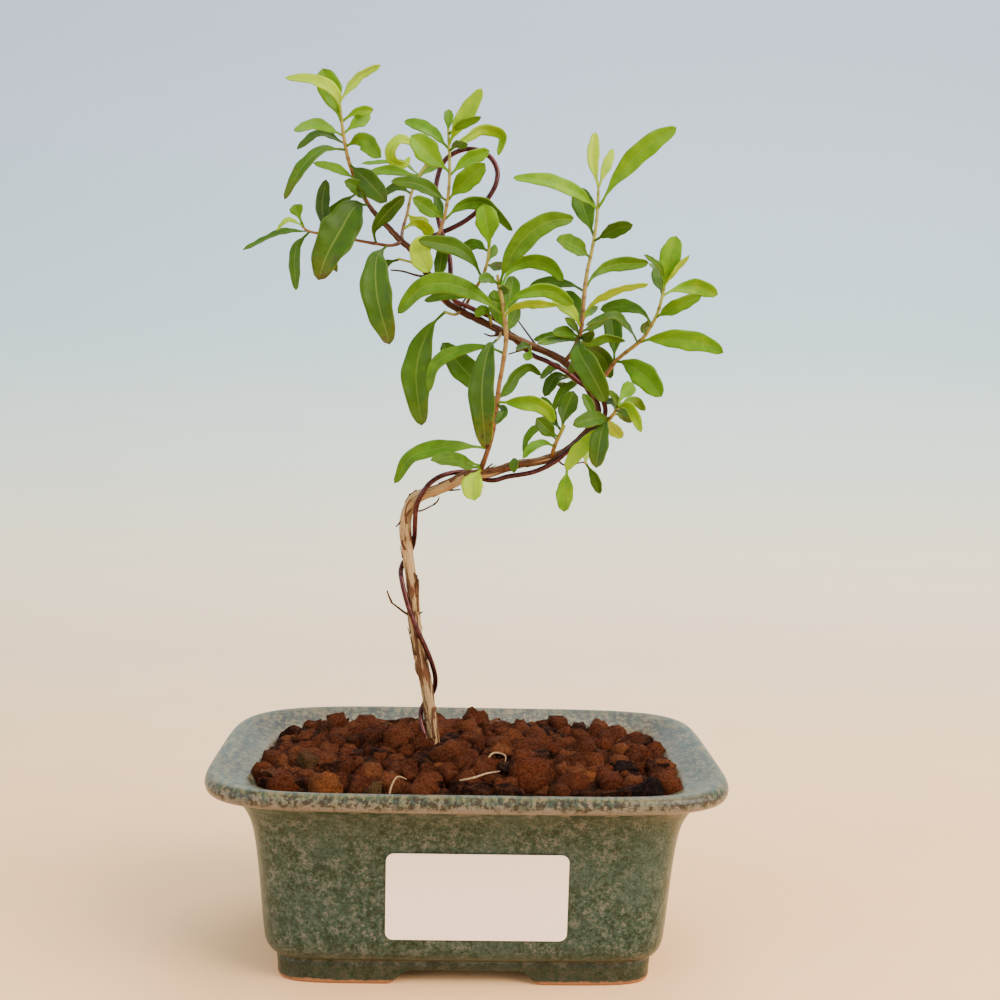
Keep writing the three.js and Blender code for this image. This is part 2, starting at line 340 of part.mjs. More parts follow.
    leaves: [
      [6.5, 10, 0.6, [55.5, 196.4, 0.2], [56.4, 204, 1.4], [58.8, 212.6, 2]],
      [5, 14, 0.55, [55.2, 195.2, 0.2], [54, 199.6, -2], [54.2, 204, -4]],
      [2.8, 55, 0.5, [56, 199.6, 0.4], [53.8, 203.4, 2.6], [49.4, 206.8, 4.6]],
      [2.8, 55, 0.5, [55.8, 198, 0.3], [59.6, 203.8, 2], [62.9, 207, 3]],
      [2.6, 50, 0.5, [55.3, 195.6, 0.2], [53.8, 201.6, -4], [51, 204.4, -7]],
      [5.2, 14, 0.65, [55.2, 194.8, 0.1], [58.4, 196.6, -1.4], [65, 198, -2.4], [71.8, 195.6, -3]],
      [4.6, 18, 0.5, [53.5, 188.4, -0.4], [58.6, 191.6, 2.4], [67, 195.4, 4]],
      [4.6, 22, 0.6, [52, 186.2, -0.8], [50.2, 189.2, -2], [44.6, 191.4, -3.4], [36.8, 190.4, -4.6]],
      [3.5, 50, 0.55, [48.3, 180.8, -2.2], [45, 185.6, 1.6], [40.6, 188.4, 4.4], [32.6, 185.6, 6.4]],
      [6.1, 10, 0.65, [41.4, 175, -4], [41.2, 181, -6], [40, 188.6, -8]],
      [2.8, 35, 0.6, [50.6, 183.2, -1.4], [50, 185.4, 1.6], [51.2, 187.4, 3.4]],
      [6.3, 10, 0.5, [48.6, 180.9, -2.2], [52.4, 182, -1], [61, 182.2, 0.8], [69.6, 180.8, 2.2],
        [74, 178.4, 3]],
      [7.6, 8, 0.55, [41.8, 175, -3.9], [44.4, 174.8, -2.4], [50.6, 171.2, -0.4], [56, 165, 1]],
    ],
  },
  {
    name: 'shoot_lower_right',
    stem: [[35.7, 157.1, -1.4, 0.75], [36.3, 157.2, 1.2, 0.72], [38, 157.6, 2.8, 0.7],
      [40.3, 158, 3.4, 0.7], [41.8, 159.6, 4, 0.6],
      [42.8, 161.8, 4.2, 0.5]],
    leaves: [
      [4.6, 14, 0.75, [42.8, 161.6, 4.2], [44, 164.6, 3], [47.2, 168.8, 2]],
      [2.6, 35, 0.55, [42.6, 161.4, 4.2], [42, 164, 6.6], [39.8, 166.4, 8.4]],
      [2.8, 20, 0.6, [42.2, 160.6, 4.1], [41.6, 162.6, 0.6], [39.4, 163.6, -2]],
      [3.5, 25, 0.55, [42.7, 161.4, 4.2], [46, 162, 6.4], [48.2, 159, 7.6], [50.2, 154.2, 8]],
      [3.3, 25, 0.6, [42.8, 161.6, 4.2], [46, 163.6, 1], [49, 163, -1.6], [51, 160.6, -3]],
      [3.1, 30, 0.6, [41.6, 159.4, 3.9], [44.4, 159.4, 1], [47, 157, -1]],
      [2.6, 40, 0.6, [42.2, 160.4, 4.1], [44.6, 160.4, 7.4], [46.4, 158.8, 10]],
      [5, 14, 0.55, [40.3, 158.2, 3.4], [36, 158, 6.4], [29.6, 155.8, 8]],
      [5.9, 10, 0.6, [40.2, 157.9, 3.4], [38.4, 154.6, 6.4], [36.8, 143.2, 7.4]],
      [4.8, 22, 0.5, [40.4, 158, 3.4], [41.6, 155.4, -0.6], [44.4, 152.4, -3]],
      [4.9, 20, 0.55, [39.8, 157.8, 3.2], [36, 152.6, 4.8], [31, 147.4, 5], [27.8, 142.2, 4.6]],
      [3.1, 18, 0.6, [38.6, 157.6, 2.2], [36.4, 158.2, 2.4], [34, 162.6, 1.8], [32.2, 165.4, 1.6]],
    ],
  },
  {
    name: 'shoot_lower_middle',
    stem: [[23.6, 146.1, 1.7, 0.75], [24, 148.6, 3.2, 0.7], [25.2, 151.8, 3.8, 0.66],
      [26.2, 154, 4, 0.62],
      [27, 155.9, 4, 0.7]],
    leaves: [
      [5.9, 10, 0.6, [26.4, 154.6, 4], [27, 159.6, 3], [29.6, 166, 2.6]],
      [4.4, 14, 0.6, [26.2, 154.2, 4], [23, 158, 1.6], [20, 164.2, 0.4]],
      [5, 12, 0.6, [25.4, 152.2, 3.8], [22.6, 153.8, 5], [18.6, 157.8, 5.6]],
      [3.1, 30, 0.6, [24.3, 149.4, 3.3], [20.8, 150.4, 5.6], [17.4, 148.8, 7], [14.9, 145.6, 7.6]],
      [3.1, 48, 0.5, [25, 151.2, 3.7], [20, 155, 2], [16.4, 152, 1.4], [15.2, 146.6, 2]],
    ],
  },
  {
    name: 'shoot_under_branch',
    stem: [[27.8, 173.7, -1.2, 0.5], [27.6, 171.8, -3.4, 0.45], [28, 170, -4.4, 0.42]],
    leaves: [
      [4.1, 15, 0.55, [28, 170.4, -4.2], [24.4, 170.4, -3.4], [20.8, 164.2, -2.6]],
      [3.1, 35, 0.6, [27.8, 171, -3.8], [24, 173, -7], [19.4, 169.6, -10]],
      [2.6, 40, 0.6, [27.9, 170.2, -4.3], [24.6, 168.8, -8], [28.8, 167.2, -11]],
      [3.5, 30, 0.6, [28, 170.2, -4.3], [30, 168.6, -7.4], [27, 166.4, -9], [23.4, 160, -9.6]],
    ],
  },
  {
    name: 'leaf_clasping_branch',
    stem: [[12.8, 143.7, 3.3, 0.42], [13.4, 144.8, 5.4, 0.42]],
    leaves: [
      [2.8, 20, 0.55, [13.3, 144.6, 5], [12.4, 144.6, 6.4], [12.2, 141.2, 6.8]],
    ],
  },
  {
    name: 'leaves_under_bend',
    stem: [[28.2, 144, 1.1, 0.42], [28.2, 142.4, 1.3, 0.45]],
    leaves: [
      [5.4, 8, 0.52, [28.2, 142.9, 1.25], [27.9, 138, 1.8], [27.5, 129.8, 1.6]],
    ],
  },
  {
    name: 'leaf_under_bend_right',
    stem: [[33, 144.9, 0.8, 0.34], [34, 144.4, 0.6, 0.42]],
    leaves: [
      [3.3, 12, 0.55, [33.8, 144.5, 0.6], [36.4, 140.4, 0.4], [38.3, 135.4, 0]],
      [2.6, 25, 0.5, [33.8, 144.5, 0.6], [33.6, 147, -1.4], [34.6, 149.8, -3.4]],
    ],
  },
];

// Loose things lying on the soil: [x, y, height, radius], the height being what sets the
// piece's own bends.
const LITTER = [
  {
    name: 'root_hair_front',
    line: [[-21.6, -40, 2.6, 0.36], [-21, -38.8, 5.8, 0.36], [-19.4, -37.4, 8, 0.36], [-17, -36, 7, 0.34]],
  },
  {
    name: 'root_hair_middle',
    line: [[-2.3, -36.9, 3, 0.36], [1, -38.6, 4.2, 0.36], [5, -34.4, 4.4, 0.36], [8.8, -28.2, 3.4, 0.34]],
  },
  {
    name: 'root_curl',
    line: [[5.4, -14, 3.4, 0.36], [7.6, -10.4, 5, 0.36], [10.8, -11, 4.6, 0.36], [11, -15, 3.4, 0.34]],
  },
  { name: 'bark_chip_left', line: [[-37.6, 34, 3.4, 0.7], [-29, 32.6, 4.2, 1], [-20, 27, 3.6, 0.6]] },
  { name: 'bark_chip_middle', line: [[-7.5, 26, 3.4, 0.6], [-5, 32, 4.2, 1], [-2.4, 38, 3.8, 0.7]] },
  { name: 'bark_chip_right', line: [[7, 27, 3.4, 0.6], [9, 33, 4.4, 0.9], [11, 38, 3.6, 0.6]] },
];
const LAYING = { from: 4, to: -6, step: 0.1 };
const DRY_LEAF_LINE = { width: 4.6, line: [[-57, -27, 2.4], [-54.6, -32, 4], [-51, -36.4, 3]] };

// ---------------------------------------------------------------- colours

function finish(color, roughness, metalness = 0) {
  return () => new THREE.MeshStandardMaterial({ color, roughness, metalness });
}

const GLAZE = finish(0x6f8577, 0.35);
const MESH_PLASTIC = finish(0x2a2c2a, 0.6);
const CLAY_GRANULES = finish(0x7c3d20, 0.95);
const LABEL_PAPER = finish(0xf4f1f0, 0.5);
const BARK = finish(0x9c7a4e, 0.85);
const ANODISED_WIRE = finish(0x5a2c29, 0.35, 0.7);
const LEAF = finish(0x6f9a2c, 0.5);
const DRY_LEAF = finish(0x5a3a22, 0.9);
const ROOT_HAIR = finish(0xd9c3a0, 0.8);

// ---------------------------------------------------------------- solids

function at([x, z, forward = 0]) {
  const point = new THREE.Vector3(x, TREE_PLANE_Y, z);
  return point.lerp(VIEW_POINT, forward / point.distanceTo(VIEW_POINT));
}

function seededRandom(seed) {
  let state = seed;
  return () => {
    state = (state + 0x6d2b79f5) | 0;
    let mixed = Math.imul(state ^ (state >>> 15), 1 | state);
    mixed = (mixed + Math.imul(mixed ^ (mixed >>> 7), 61 | mixed)) ^ mixed;
    return ((mixed ^ (mixed >>> 14)) >>> 0) / 4294967296;
  };
}

function solidFrom(points, triangles) {
  return new wasm.Manifold(new wasm.Mesh({
    numProp: 3,
    vertProperties: Float32Array.from(points.flatMap((point) => point.toArray())),
    triVerts: Uint32Array.from(triangles.flat()),
  }));
}

function solidOf(geometry) {
  geometry.deleteAttribute('normal');
  geometry.deleteAttribute('uv');
  const merged = mergeVertices(geometry, 1e-4);
  return new wasm.Manifold(new wasm.Mesh({
    numProp: 3,
    vertProperties: Float32Array.from(merged.attributes.position.array),
    triVerts: Uint32Array.from(merged.index.array),
  }));
}

function joined(solids) {
  return solids.reduce((whole, piece) => whole.add(piece));
}

function meshOf(name, solid, material) {
  const { vertProperties, triVerts } = solid.getMesh();
  const geometry = new THREE.BufferGeometry();
  geometry.setAttribute('position', new THREE.BufferAttribute(Float32Array.from(vertProperties), 3));
  geometry.setIndex(new THREE.BufferAttribute(Uint32Array.from(triVerts), 1));
  geometry.computeVertexNormals();
  const mesh = new THREE.Mesh(geometry, material());
  mesh.name = name;
  return mesh;
}

// Closed skin over rings of equally many points, with a point in the middle of each end.
function skinned(rings) {
  const sides = rings[0].length;
  const points = rings.flat();
  const middle = (ring) => ring
    .reduce((sum, point) => sum.add(point), new THREE.Vector3())
    .divideScalar(sides);
  const start = points.push(middle(rings[0])) - 1;
  const end = points.push(middle(rings[rings.length - 1])) - 1;
  const last = (rings.length - 1) * sides;
  const triangles = [];
  for (let side = 0; side < sides; side += 1) {
    const next = (side + 1) % sides;
    triangles.push([start, next, side], [end, last + side, last + next]);
    for (let row = 0; row < last; row += sides) {
      triangles.push([row + side, row + next, row + sides + next]);
      triangles.push([row + side, row + sides + next, row + sides + side]);
    }
  }
  return solidFrom(points, triangles);
}

// Tube through stations of { centre, radius }, its frame carried along without twist.
function tube(stations, sides, extra = 0) {
  const across = new THREE.Vector3(0, 1, 0);
  const rings = stations.map(({ centre, radius }, index) => {
    const before = stations[Math.max(index - 1, 0)].centre;
    const after = stations[Math.min(index + 1, stations.length - 1)].centre;
    const along = after.clone().sub(before).normalize();
    across.addScaledVector(along, -across.dot(along)).normalize();
    const up = along.clone().cross(across);
    const overhang = extra * ((index === stations.length - 1) - (index === 0));
    return Array.from({ length: sides }, (_, side) => {
      const angle = (2 * Math.PI * side) / sides;
      return centre.clone()
        .addScaledVector(along, overhang)
        .addScaledVector(across, (radius + extra) * Math.cos(angle))
        .addScaledVector(up, (radius + extra) * Math.sin(angle));
    });
  });
  return skinned(rings);
}

function stationsOf(rows, fullness = 1) {
  return rows.map((row) => ({ centre: at(row), radius: fullness * row[3] }));
}

// ---------------------------------------------------------------- pot, screens, soil, label

// The lip is shaped by hand, and its back left corner is rounder than the other three.
function potRing(inset, z, squareness = SQUARENESS.lip) {
  return Array.from({ length: POT_SIDES }, (_, side) => {
    const angle = (2 * Math.PI * side) / POT_SIDES;
    const cos = Math.cos(angle);
    const sin = Math.sin(angle);
    const soft = squareness === SQUARENESS.lip && cos < 0 && sin > 0;
    const power = 2 / (soft ? SQUARENESS.softLip : squareness);
    return new THREE.Vector3(
      (POT_HALF_WIDTH - inset) * Math.sign(cos) * Math.abs(cos) ** power,
      (POT_HALF_DEPTH - inset) * Math.sign(sin) * Math.abs(sin) ** power,
      z,
    );
  });
}

function outerRing([inset, z]) {
  if (z < FOOT_TOP_Z) {
    return potRing(inset, z, SQUARENESS.foot);
  }
  return potRing(inset, z, z < LIP_BOTTOM_Z ? SQUARENESS.wall : SQUARENESS.lip);
}

function ogeePrism({ bottom, top }, length) {
  const middle = (bottom + top) / 2;
  const height = FOOT_OPENING_HEIGHT;
  const outline = new THREE.Shape();
  outline.moveTo(-bottom, -1);
  outline.lineTo(bottom, -1);
  outline.lineTo(bottom, 0);
  outline.bezierCurveTo(middle, 0, middle, height, top, height);
  outline.lineTo(-top, height);
  outline.bezierCurveTo(-middle, height, -middle, 0, -bottom, 0);
  const settings = { depth: length, bevelEnabled: false, curveSegments: 5 };
  const prism = new THREE.ExtrudeGeometry(outline, settings);
  return prism.rotateX(Math.PI / 2).translate(0, length / 2, 0);
}

function upright(radius, height, sides, x, z) {
  return new THREE.CylinderGeometry(radius, radius, height, sides).rotateX(Math.PI / 2).translate(x, 0, z);
}

function makePot() {
  const rings = [...POT_OUTSIDE.map(outerRing), ...POT_INSIDE.map(([inset, z]) => potRing(inset, z))];
  const footInset = POT_OUTSIDE[0][0] + FOOT_WALL;
  let pot = skinned(rings)
    .subtract(skinned([outerRing([footInset, -1]), outerRing([footInset, FOOT_OPENING_HEIGHT])]))
    .subtract(solidOf(ogeePrism(FRONT_OPENING, 2 * POT_HALF_DEPTH)))
    .subtract(solidOf(ogeePrism(SIDE_OPENING, 2 * POT_HALF_WIDTH).rotateZ(Math.PI / 2)));
  for (const side of [-1, 1]) {
    const { radius, sides, x } = DRAIN_HOLE;
    pot = pot.subtract(solidOf(upright(radius, 20, sides, side * x, POT_FLOOR_Z)));
  }
  return pot;
}

function box(width, depth, height, x, y, z) {
  return solidOf(new THREE.BoxGeometry(width, depth, height).translate(x, y, z));
}

function makeScreen(side) {
  const { side: width, thickness, holes, hole } = SCREEN;
  const middleX = side * DRAIN_HOLE.x;
  const middleZ = POT_FLOOR_Z + CLEARANCE + thickness / 2;
  let screen = box(width, width, thickness, middleX, 0, middleZ);
  for (let column = 0; column < holes; column += 1) {
    for (let row = 0; row < holes; row += 1) {
      const x = middleX + ((column + 0.5) / holes - 0.5) * width;
      const y = ((row + 0.5) / holes - 0.5) * width;
      screen = screen.subtract(box(hole, hole, 2 * thickness, x, y, middleZ));
    }
  }
  return screen;
}

function soilHeight(x, y) {
  const out = Math.min(1, (x / SOIL.halfWidth) ** 2 + (y / SOIL.halfDepth) ** 2);
  return THREE.MathUtils.lerp(SOIL.crown, SOIL.rim, out);
}

// Block with a top of packed granules. They stand on a staggered lattice, each a six-sided
// lump with a tilted top, and meet in valleys half-way between three of them.
function makeGranularBlock() {
  const random = seededRandom(20);
  const spread = (reach) => reach * (2 * random() - 1);
  const { pitch, rowPitch, jitter, valley, lowest, highest, tilt } = GRANULE;
  const rows = 2 * Math.ceil(SOIL.halfDepth / rowPitch) + 5;
  const columns = 2 * Math.ceil(SOIL.halfWidth / pitch) + 5;
  const centres = [];
  for (let row = 0; row < rows; row += 1) {
    centres.push(Array.from({ length: columns }, (_, column) => new THREE.Vector2(
      (column - (columns - 1) / 2 + 0.5 * (row % 2) - 0.25) * pitch + spread(jitter),
      (row - (rows - 1) / 2) * rowPitch + spread(jitter),
    )));
  }
  const points = [];
  const triangles = [];
  const onSoil = ({ x, y }, lift) => points.push(new THREE.Vector3(x, y, soilHeight(x, y) + lift)) - 1;
  const valleys = new Map();
  const valleyAt = (cells) => {
    const key = cells.map((cell) => cell.join(':')).sort().join('|');
    if (!valleys.has(key)) {
      const middle = new THREE.Vector2();
      cells.forEach(([row, column]) => middle.addScaledVector(centres[row][column], 1 / 3));
      valleys.set(key, onSoil(middle, valley + spread(0.5)));
    }
    return valleys.get(key);
  };
  for (let row = 1; row < rows - 1; row += 1) {
    for (let column = 1; column < columns - 1; column += 1) {
      const shift = row % 2;
      const around = [
        [row, column + 1], [row + 1, column + shift], [row + 1, column + shift - 1],
        [row, column - 1], [row - 1, column + shift - 1], [row - 1, column + shift],
      ];
      const centre = centres[row][column];
      const lift = THREE.MathUtils.lerp(lowest, highest, random());
      const lean = new THREE.Vector2(spread(tilt), spread(tilt)).divideScalar(pitch / 2);
      const foot = around.map((cell, index) => valleyAt([[row, column], cell, around[(index + 1) % 6]]));
      const top = foot.map((index) => {
        const reach = new THREE.Vector2(points[index].x, points[index].y).sub(centre);
        reach.multiplyScalar(0.62 + 0.28 * random());
        return onSoil(reach.clone().add(centre), lift + reach.dot(lean));
      });
      for (let side = 0; side < 6; side += 1) {
        const next = (side + 1) % 6;
        triangles.push([foot[side], foot[next], top[next]], [foot[side], top[next], top[side]]);
      }
      triangles.push([top[0], top[1], top[2]], [top[0], top[2], top[3]]);
      triangles.push([top[0], top[3], top[5]], [top[3], top[4], top[5]]);
    }
  }
  return closedBelow(points, triangles, -1);
}

// Closes an open surface downwards with upright sides and a flat bottom at the given height.
function closedBelow(points, triangles, bottom) {
  const edges = new Set(triangles.flatMap(([a, b, c]) => [`${a}:${b}`, `${b}:${c}`, `${c}:${a}`]));
  const rim = [...edges]
    .map((edge) => edge.split(':').map(Number))
    .filter(([a, b]) => !edges.has(`${b}:${a}`));
  const below = new Map(rim.map(([a]) => [a, points.push(points[a].clone().setZ(bottom)) - 1]));
  const middle = points.push(new THREE.Vector3(0, 0, bottom)) - 1;
  for (const [a, b] of rim) {
    const [lowA, lowB] = [below.get(a), below.get(b)];
    triangles.push([b, a, lowA], [b, lowA, lowB], [lowB, lowA, middle]);
  }
  return solidFrom(points, triangles);
}

// The space that the soil may fill: the inside of the pot below the slope of the lip, less
// the clearance, and straight up from there.
function soilSpace() {
  const rows = POT_INSIDE.slice(1).reverse().map(([inset, z]) => [inset + CLEARANCE, z + CLEARANCE]);
  rows.push([SOIL.edgeInset, SOIL.edgeZ], [SOIL.edgeInset, SOIL.crown + 10]);
  return skinned(rows.map(([inset, z]) => potRing(inset, z)));
}

function makeSoil(plantHoles) {
  let soil = soilSpace().intersect(makeGranularBlock());
  for (const side of [-1, 1]) {
    const width = SCREEN.side + 2 * CLEARANCE;
    const height = 2 * (SCREEN.thickness + CLEARANCE);
    soil = soil.subtract(box(width, width, height, side * DRAIN_HOLE.x, 0, POT_FLOOR_Z + CLEARANCE));
  }
  return plantHoles.reduce((rest, hole) => rest.subtract(hole), soil);
}

// The pot's front wall, as y at a given x and height.
function frontWall(x, z) {
  const above = POT_OUTSIDE.findIndex((row) => row[1] > z);
  const [lowInset, lowZ] = POT_OUTSIDE[above - 1];
  const [highInset, highZ] = POT_OUTSIDE[above];
  const inset = THREE.MathUtils.mapLinear(z, lowZ, highZ, lowInset, highInset);
  const out = Math.abs(x / (POT_HALF_WIDTH - inset)) ** SQUARENESS.wall;
  return -(POT_HALF_DEPTH - inset) * (1 - out) ** (1 / SQUARENESS.wall);
}

function makeLabel() {
  const rows = [];
  for (let row = 0; row <= LABEL.rows; row += 1) {
    const angle = Math.PI * (row / LABEL.rows - 0.5);
    const up = Math.sin(angle) * LABEL.height / 2;
    const intoCorner = Math.max(0, Math.abs(up) - (LABEL.height / 2 - LABEL.corner));
    const half = LABEL.width / 2 - LABEL.corner + Math.sqrt(LABEL.corner ** 2 - intoCorner ** 2);
    const z = LABEL.z + up;
    const slope = Math.atan2(frontWall(0, z + 0.5) - frontWall(0, z - 0.5), 1);
    const outward = new THREE.Vector3(0, -Math.cos(slope), Math.sin(slope));
    const place = (x) => new THREE.Vector3(x, frontWall(x, z), z)
      .addScaledVector(outward, CLEARANCE + LABEL.thickness / 2);
    rows.push({ line: [place(LABEL.x + half), place(LABEL.x), place(LABEL.x - half)], normal: outward });
  }
  return sheet(rows, LABEL.thickness);
}

// ---------------------------------------------------------------- leaves and stems

// Thin closed sheet over rows of points from left to right, each row with its normal.
// Both faces are split into triangles alike.
function sheet(rows, thickness) {
  const across = rows[0].line.length;
  const points = rows.flatMap(({ line, normal }) => [0.5, -0.5].flatMap(
    (level) => line.map((point) => point.clone().addScaledVector(normal, level * thickness)),
  ));
  const triangles = [];
  const quad = (a, b, c, d) => triangles.push([a, b, c], [a, c, d]);
  for (let row = 0; row < rows.length - 1; row += 1) {
    const front = 2 * across * row;
    const back = front + across;
    const next = 2 * across;
    for (let place = 0; place < across - 1; place += 1) {
      const here = front + place;
      const below = back + place;
      quad(here + 1, here, here + next, here + next + 1);
      triangles.push([below + 1, below + next, below], [below + 1, below + next + 1, below + next]);
    }
    const right = across - 1;
    quad(front, back, back + next, front + next);
    quad(front + right, front + next + right, back + next + right, back + right);
  }
  const tip = 2 * across * (rows.length - 1);
  for (let place = 0; place < across - 1; place += 1) {
    quad(place, place + 1, across + place + 1, across + place);
    quad(tip + place, tip + across + place, tip + across + place + 1, tip + place + 1);
  }
  return solidFrom(points, triangles);
}

function bladeHalfWidth(width, broadest, along) {
  const onBlade = Math.max(0, (along - BLADE_STALK) / (1 - BLADE_STALK));
  const swell = Math.sin(Math.PI * onBlade ** (Math.log(0.5) / Math.log(broadest)));
  const bluntness = THREE.MathUtils.lerp(BLADE_BLUNTNESS.base, BLADE_BLUNTNESS.tip, onBlade);
  return Math.max(STALK_HALF_WIDTH, (width / 2) * Math.max(0, swell) ** bluntness);
}

// Blade over a midrib given as points, its upper side turned by roll from facing the viewer.
function blade(midrib, width, roll, broadest, phase, viewer = VIEW_POINT) {
  const curve = new THREE.CatmullRomCurve3(midrib);
  const folded = curve.getLength() > FOLDED_FROM;
  const count = THREE.MathUtils.clamp(Math.round(curve.getLength() / BLADE_STEP) + 2, 3, 6);
  const rows = Array.from({ length: count }, (_, index) => {
    const along = index / (count - 1);
    const centre = curve.getPointAt(along);
    const tangent = curve.getTangentAt(along);
    const side = tangent.clone().cross(viewer.clone().sub(centre)).normalize();
    side.applyAxisAngle(tangent, THREE.MathUtils.degToRad(roll));
    const normal = side.clone().cross(tangent);
    const half = bladeHalfWidth(width, broadest, along);
    const edge = (hand) => {
      const wave = Math.sin(3 * Math.PI * along + phase + hand) * Math.sin(Math.PI * along);
      const ripple = BLADE_WAVE * width * wave;
      return centre.clone()
        .addScaledVector(side, hand * half * Math.cos(BLADE_FOLD))
        .addScaledVector(normal, half * Math.sin(BLADE_FOLD) + ripple);
    };
    return { line: folded ? [edge(1), centre, edge(-1)] : [edge(1), edge(-1)], normal };
  });
  return sheet(rows, BLADE_THICKNESS);
}

function leaf([width, roll, broadest, ...midrib], index) {
  return blade(midrib.map(at), width, roll, broadest, 1.7 * index);
}

// Shoots bush out to the front and the back of where they leave the branch.
function bushed(rows, from) {
  return rows.map((row) => row.with(2, from + SHOOT_DEPTH * (row[2] - from)));
}

function makeShoot({ stem, leaves }, clear) {
  const from = stem[0][2];
  const blades = leaves.map(([width, roll, broadest, ...midrib], index) => (
    leaf([width, roll, broadest, ...bushed(midrib, from)], index)
  ));
  const stalk = tube(stationsOf(bushed(stem, from), STEM.fullness), STEM.sides);
  return joined([stalk, ...blades]).subtract(clear);
}

// ---------------------------------------------------------------- trunk and wire

function makeTrunk(extra = 0) {
  const twigs = TWIGS.map(([radius, ...line]) => (
    tube(line.map((row) => ({ centre: at(row), radius })), TWIG_SIDES, extra)
  ));
  return joined([tube(stationsOf(TRUNK), TRUNK_SIDES, extra), ...twigs]);
}

function makeWire(extra = 0) {
  const section = new THREE.Shape().absarc(0, 0, WIRE.radius + extra, 0, 2 * Math.PI);
  const route = new THREE.CatmullRomCurve3(WIRE_LINE.map(at));
  route.points[0].z -= extra;
  return solidOf(new THREE.ExtrudeGeometry(section, {
    steps: WIRE.steps, curveSegments: WIRE.sides / 2, extrudePath: route, bevelEnabled: false,
  }));
}

// ---------------------------------------------------------------- litter

function onSoil([x, y, lift]) {
  return new THREE.Vector3(x, y, soilHeight(x, y) + lift);
}

function makeDryLeaf(raised) {
  const overhead = new THREE.Vector3(0, 0, 1000);
  const midrib = DRY_LEAF_LINE.line.map(([x, y, lift]) => onSoil([x, y, lift + raised]));
  return blade(midrib, DRY_LEAF_LINE.width, 0, 0.5, 0, overhead);
}

function makeLitter({ line }, raised) {
  const stations = line.map(([x, y, lift, radius]) => ({ centre: onSoil([x, y, lift + raised]), radius }));
  return tube(stations, TWIG_SIDES);
}

// Lowers a piece, built at a given height, until it lies just clear of the bed.
function laidOn(bed, build) {
  let raised = LAYING.from;
  while (raised > LAYING.to && build(raised - LAYING.step).intersect(bed).isEmpty()) {
    raised -= LAYING.step;
  }
  return build(raised + CLEARANCE - LAYING.step / 2);
}

// ---------------------------------------------------------------- the whole

const trunk = makeTrunk();
const trunkRoom = makeTrunk(CLEARANCE);
const wire = makeWire().subtract(trunkRoom);
const wireRoom = makeWire(CLEARANCE);
const soil = makeSoil([trunkRoom, wireRoom]);

const bonsai = new THREE.Group();
bonsai.name = 'pomegranate_bonsai';
bonsai.add(meshOf('pot', makePot(), GLAZE));
bonsai.add(meshOf('drain_screen_left', makeScreen(-1), MESH_PLASTIC));
bonsai.add(meshOf('drain_screen_right', makeScreen(1), MESH_PLASTIC));
bonsai.add(meshOf('soil', soil, CLAY_GRANULES));
bonsai.add(meshOf('label', makeLabel(), LABEL_PAPER));
bonsai.add(meshOf('trunk', trunk, BARK));
bonsai.add(meshOf('training_wire', wire, ANODISED_WIRE));
for (const shoot of SHOOTS) {
  bonsai.add(meshOf(shoot.name, makeShoot(shoot, trunkRoom), LEAF));
}

for (const piece of LITTER) {
  const material = piece.name.startsWith('root') ? ROOT_HAIR : DRY_LEAF;
  bonsai.add(meshOf(piece.name, laidOn(soil, (raised) => makeLitter(piece, raised)), material));
}
bonsai.add(meshOf('dry_leaf', laidOn(soil, makeDryLeaf), DRY_LEAF));

export default bonsai;
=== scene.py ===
"""Pomegranate bonsai in its glazed pot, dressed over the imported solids."""
import functools
import math
import random

import bmesh
import bpy
from mathutils import Euler, Matrix, Vector, noise


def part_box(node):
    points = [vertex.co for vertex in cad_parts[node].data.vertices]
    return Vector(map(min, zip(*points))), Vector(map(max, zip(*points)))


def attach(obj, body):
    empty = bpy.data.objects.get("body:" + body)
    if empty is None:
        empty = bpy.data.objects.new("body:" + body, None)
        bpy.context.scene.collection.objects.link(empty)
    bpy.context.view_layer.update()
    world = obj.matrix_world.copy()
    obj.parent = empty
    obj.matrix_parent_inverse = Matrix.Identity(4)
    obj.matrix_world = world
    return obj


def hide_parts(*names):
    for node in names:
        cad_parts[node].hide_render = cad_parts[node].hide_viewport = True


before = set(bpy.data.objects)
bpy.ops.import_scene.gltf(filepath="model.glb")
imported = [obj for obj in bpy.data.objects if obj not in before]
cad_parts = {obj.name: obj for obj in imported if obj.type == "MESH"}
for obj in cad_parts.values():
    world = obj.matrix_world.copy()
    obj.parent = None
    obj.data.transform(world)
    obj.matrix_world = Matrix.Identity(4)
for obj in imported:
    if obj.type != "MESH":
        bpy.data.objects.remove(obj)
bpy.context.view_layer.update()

bl_info = {
    "name": "Pomegranate Bonsai",
    "version": (1, 0, 0),
    "blender": (4, 5, 0),
    "location": "View3D > Sidebar > Bonsai",
    "description": "Builds a wired pomegranate bonsai in a glazed pot",
    "category": "Add Mesh",
}

MM = 0.001


def rows_of(text):
    """Rows of numbers, with commas between the rows."""
    return [[float(word) for word in row.split()] for row in text.split(",")]


# ---------------------------------------------------------------- the pot's setting out, in mm

HALF_LENGTH, HALF_DEPTH = 73.5, 55
# How square the pot is in plan, by height: the power of a superellipse, then that of its
# back left corner, where the lip is rounder than at the other three.
SQUARENESS = rows_of("0 9 9, 7 9 9, 8.4 7 7, 51.4 7 7, 54.3 5.5 4.4, 60 5.5 4.4")
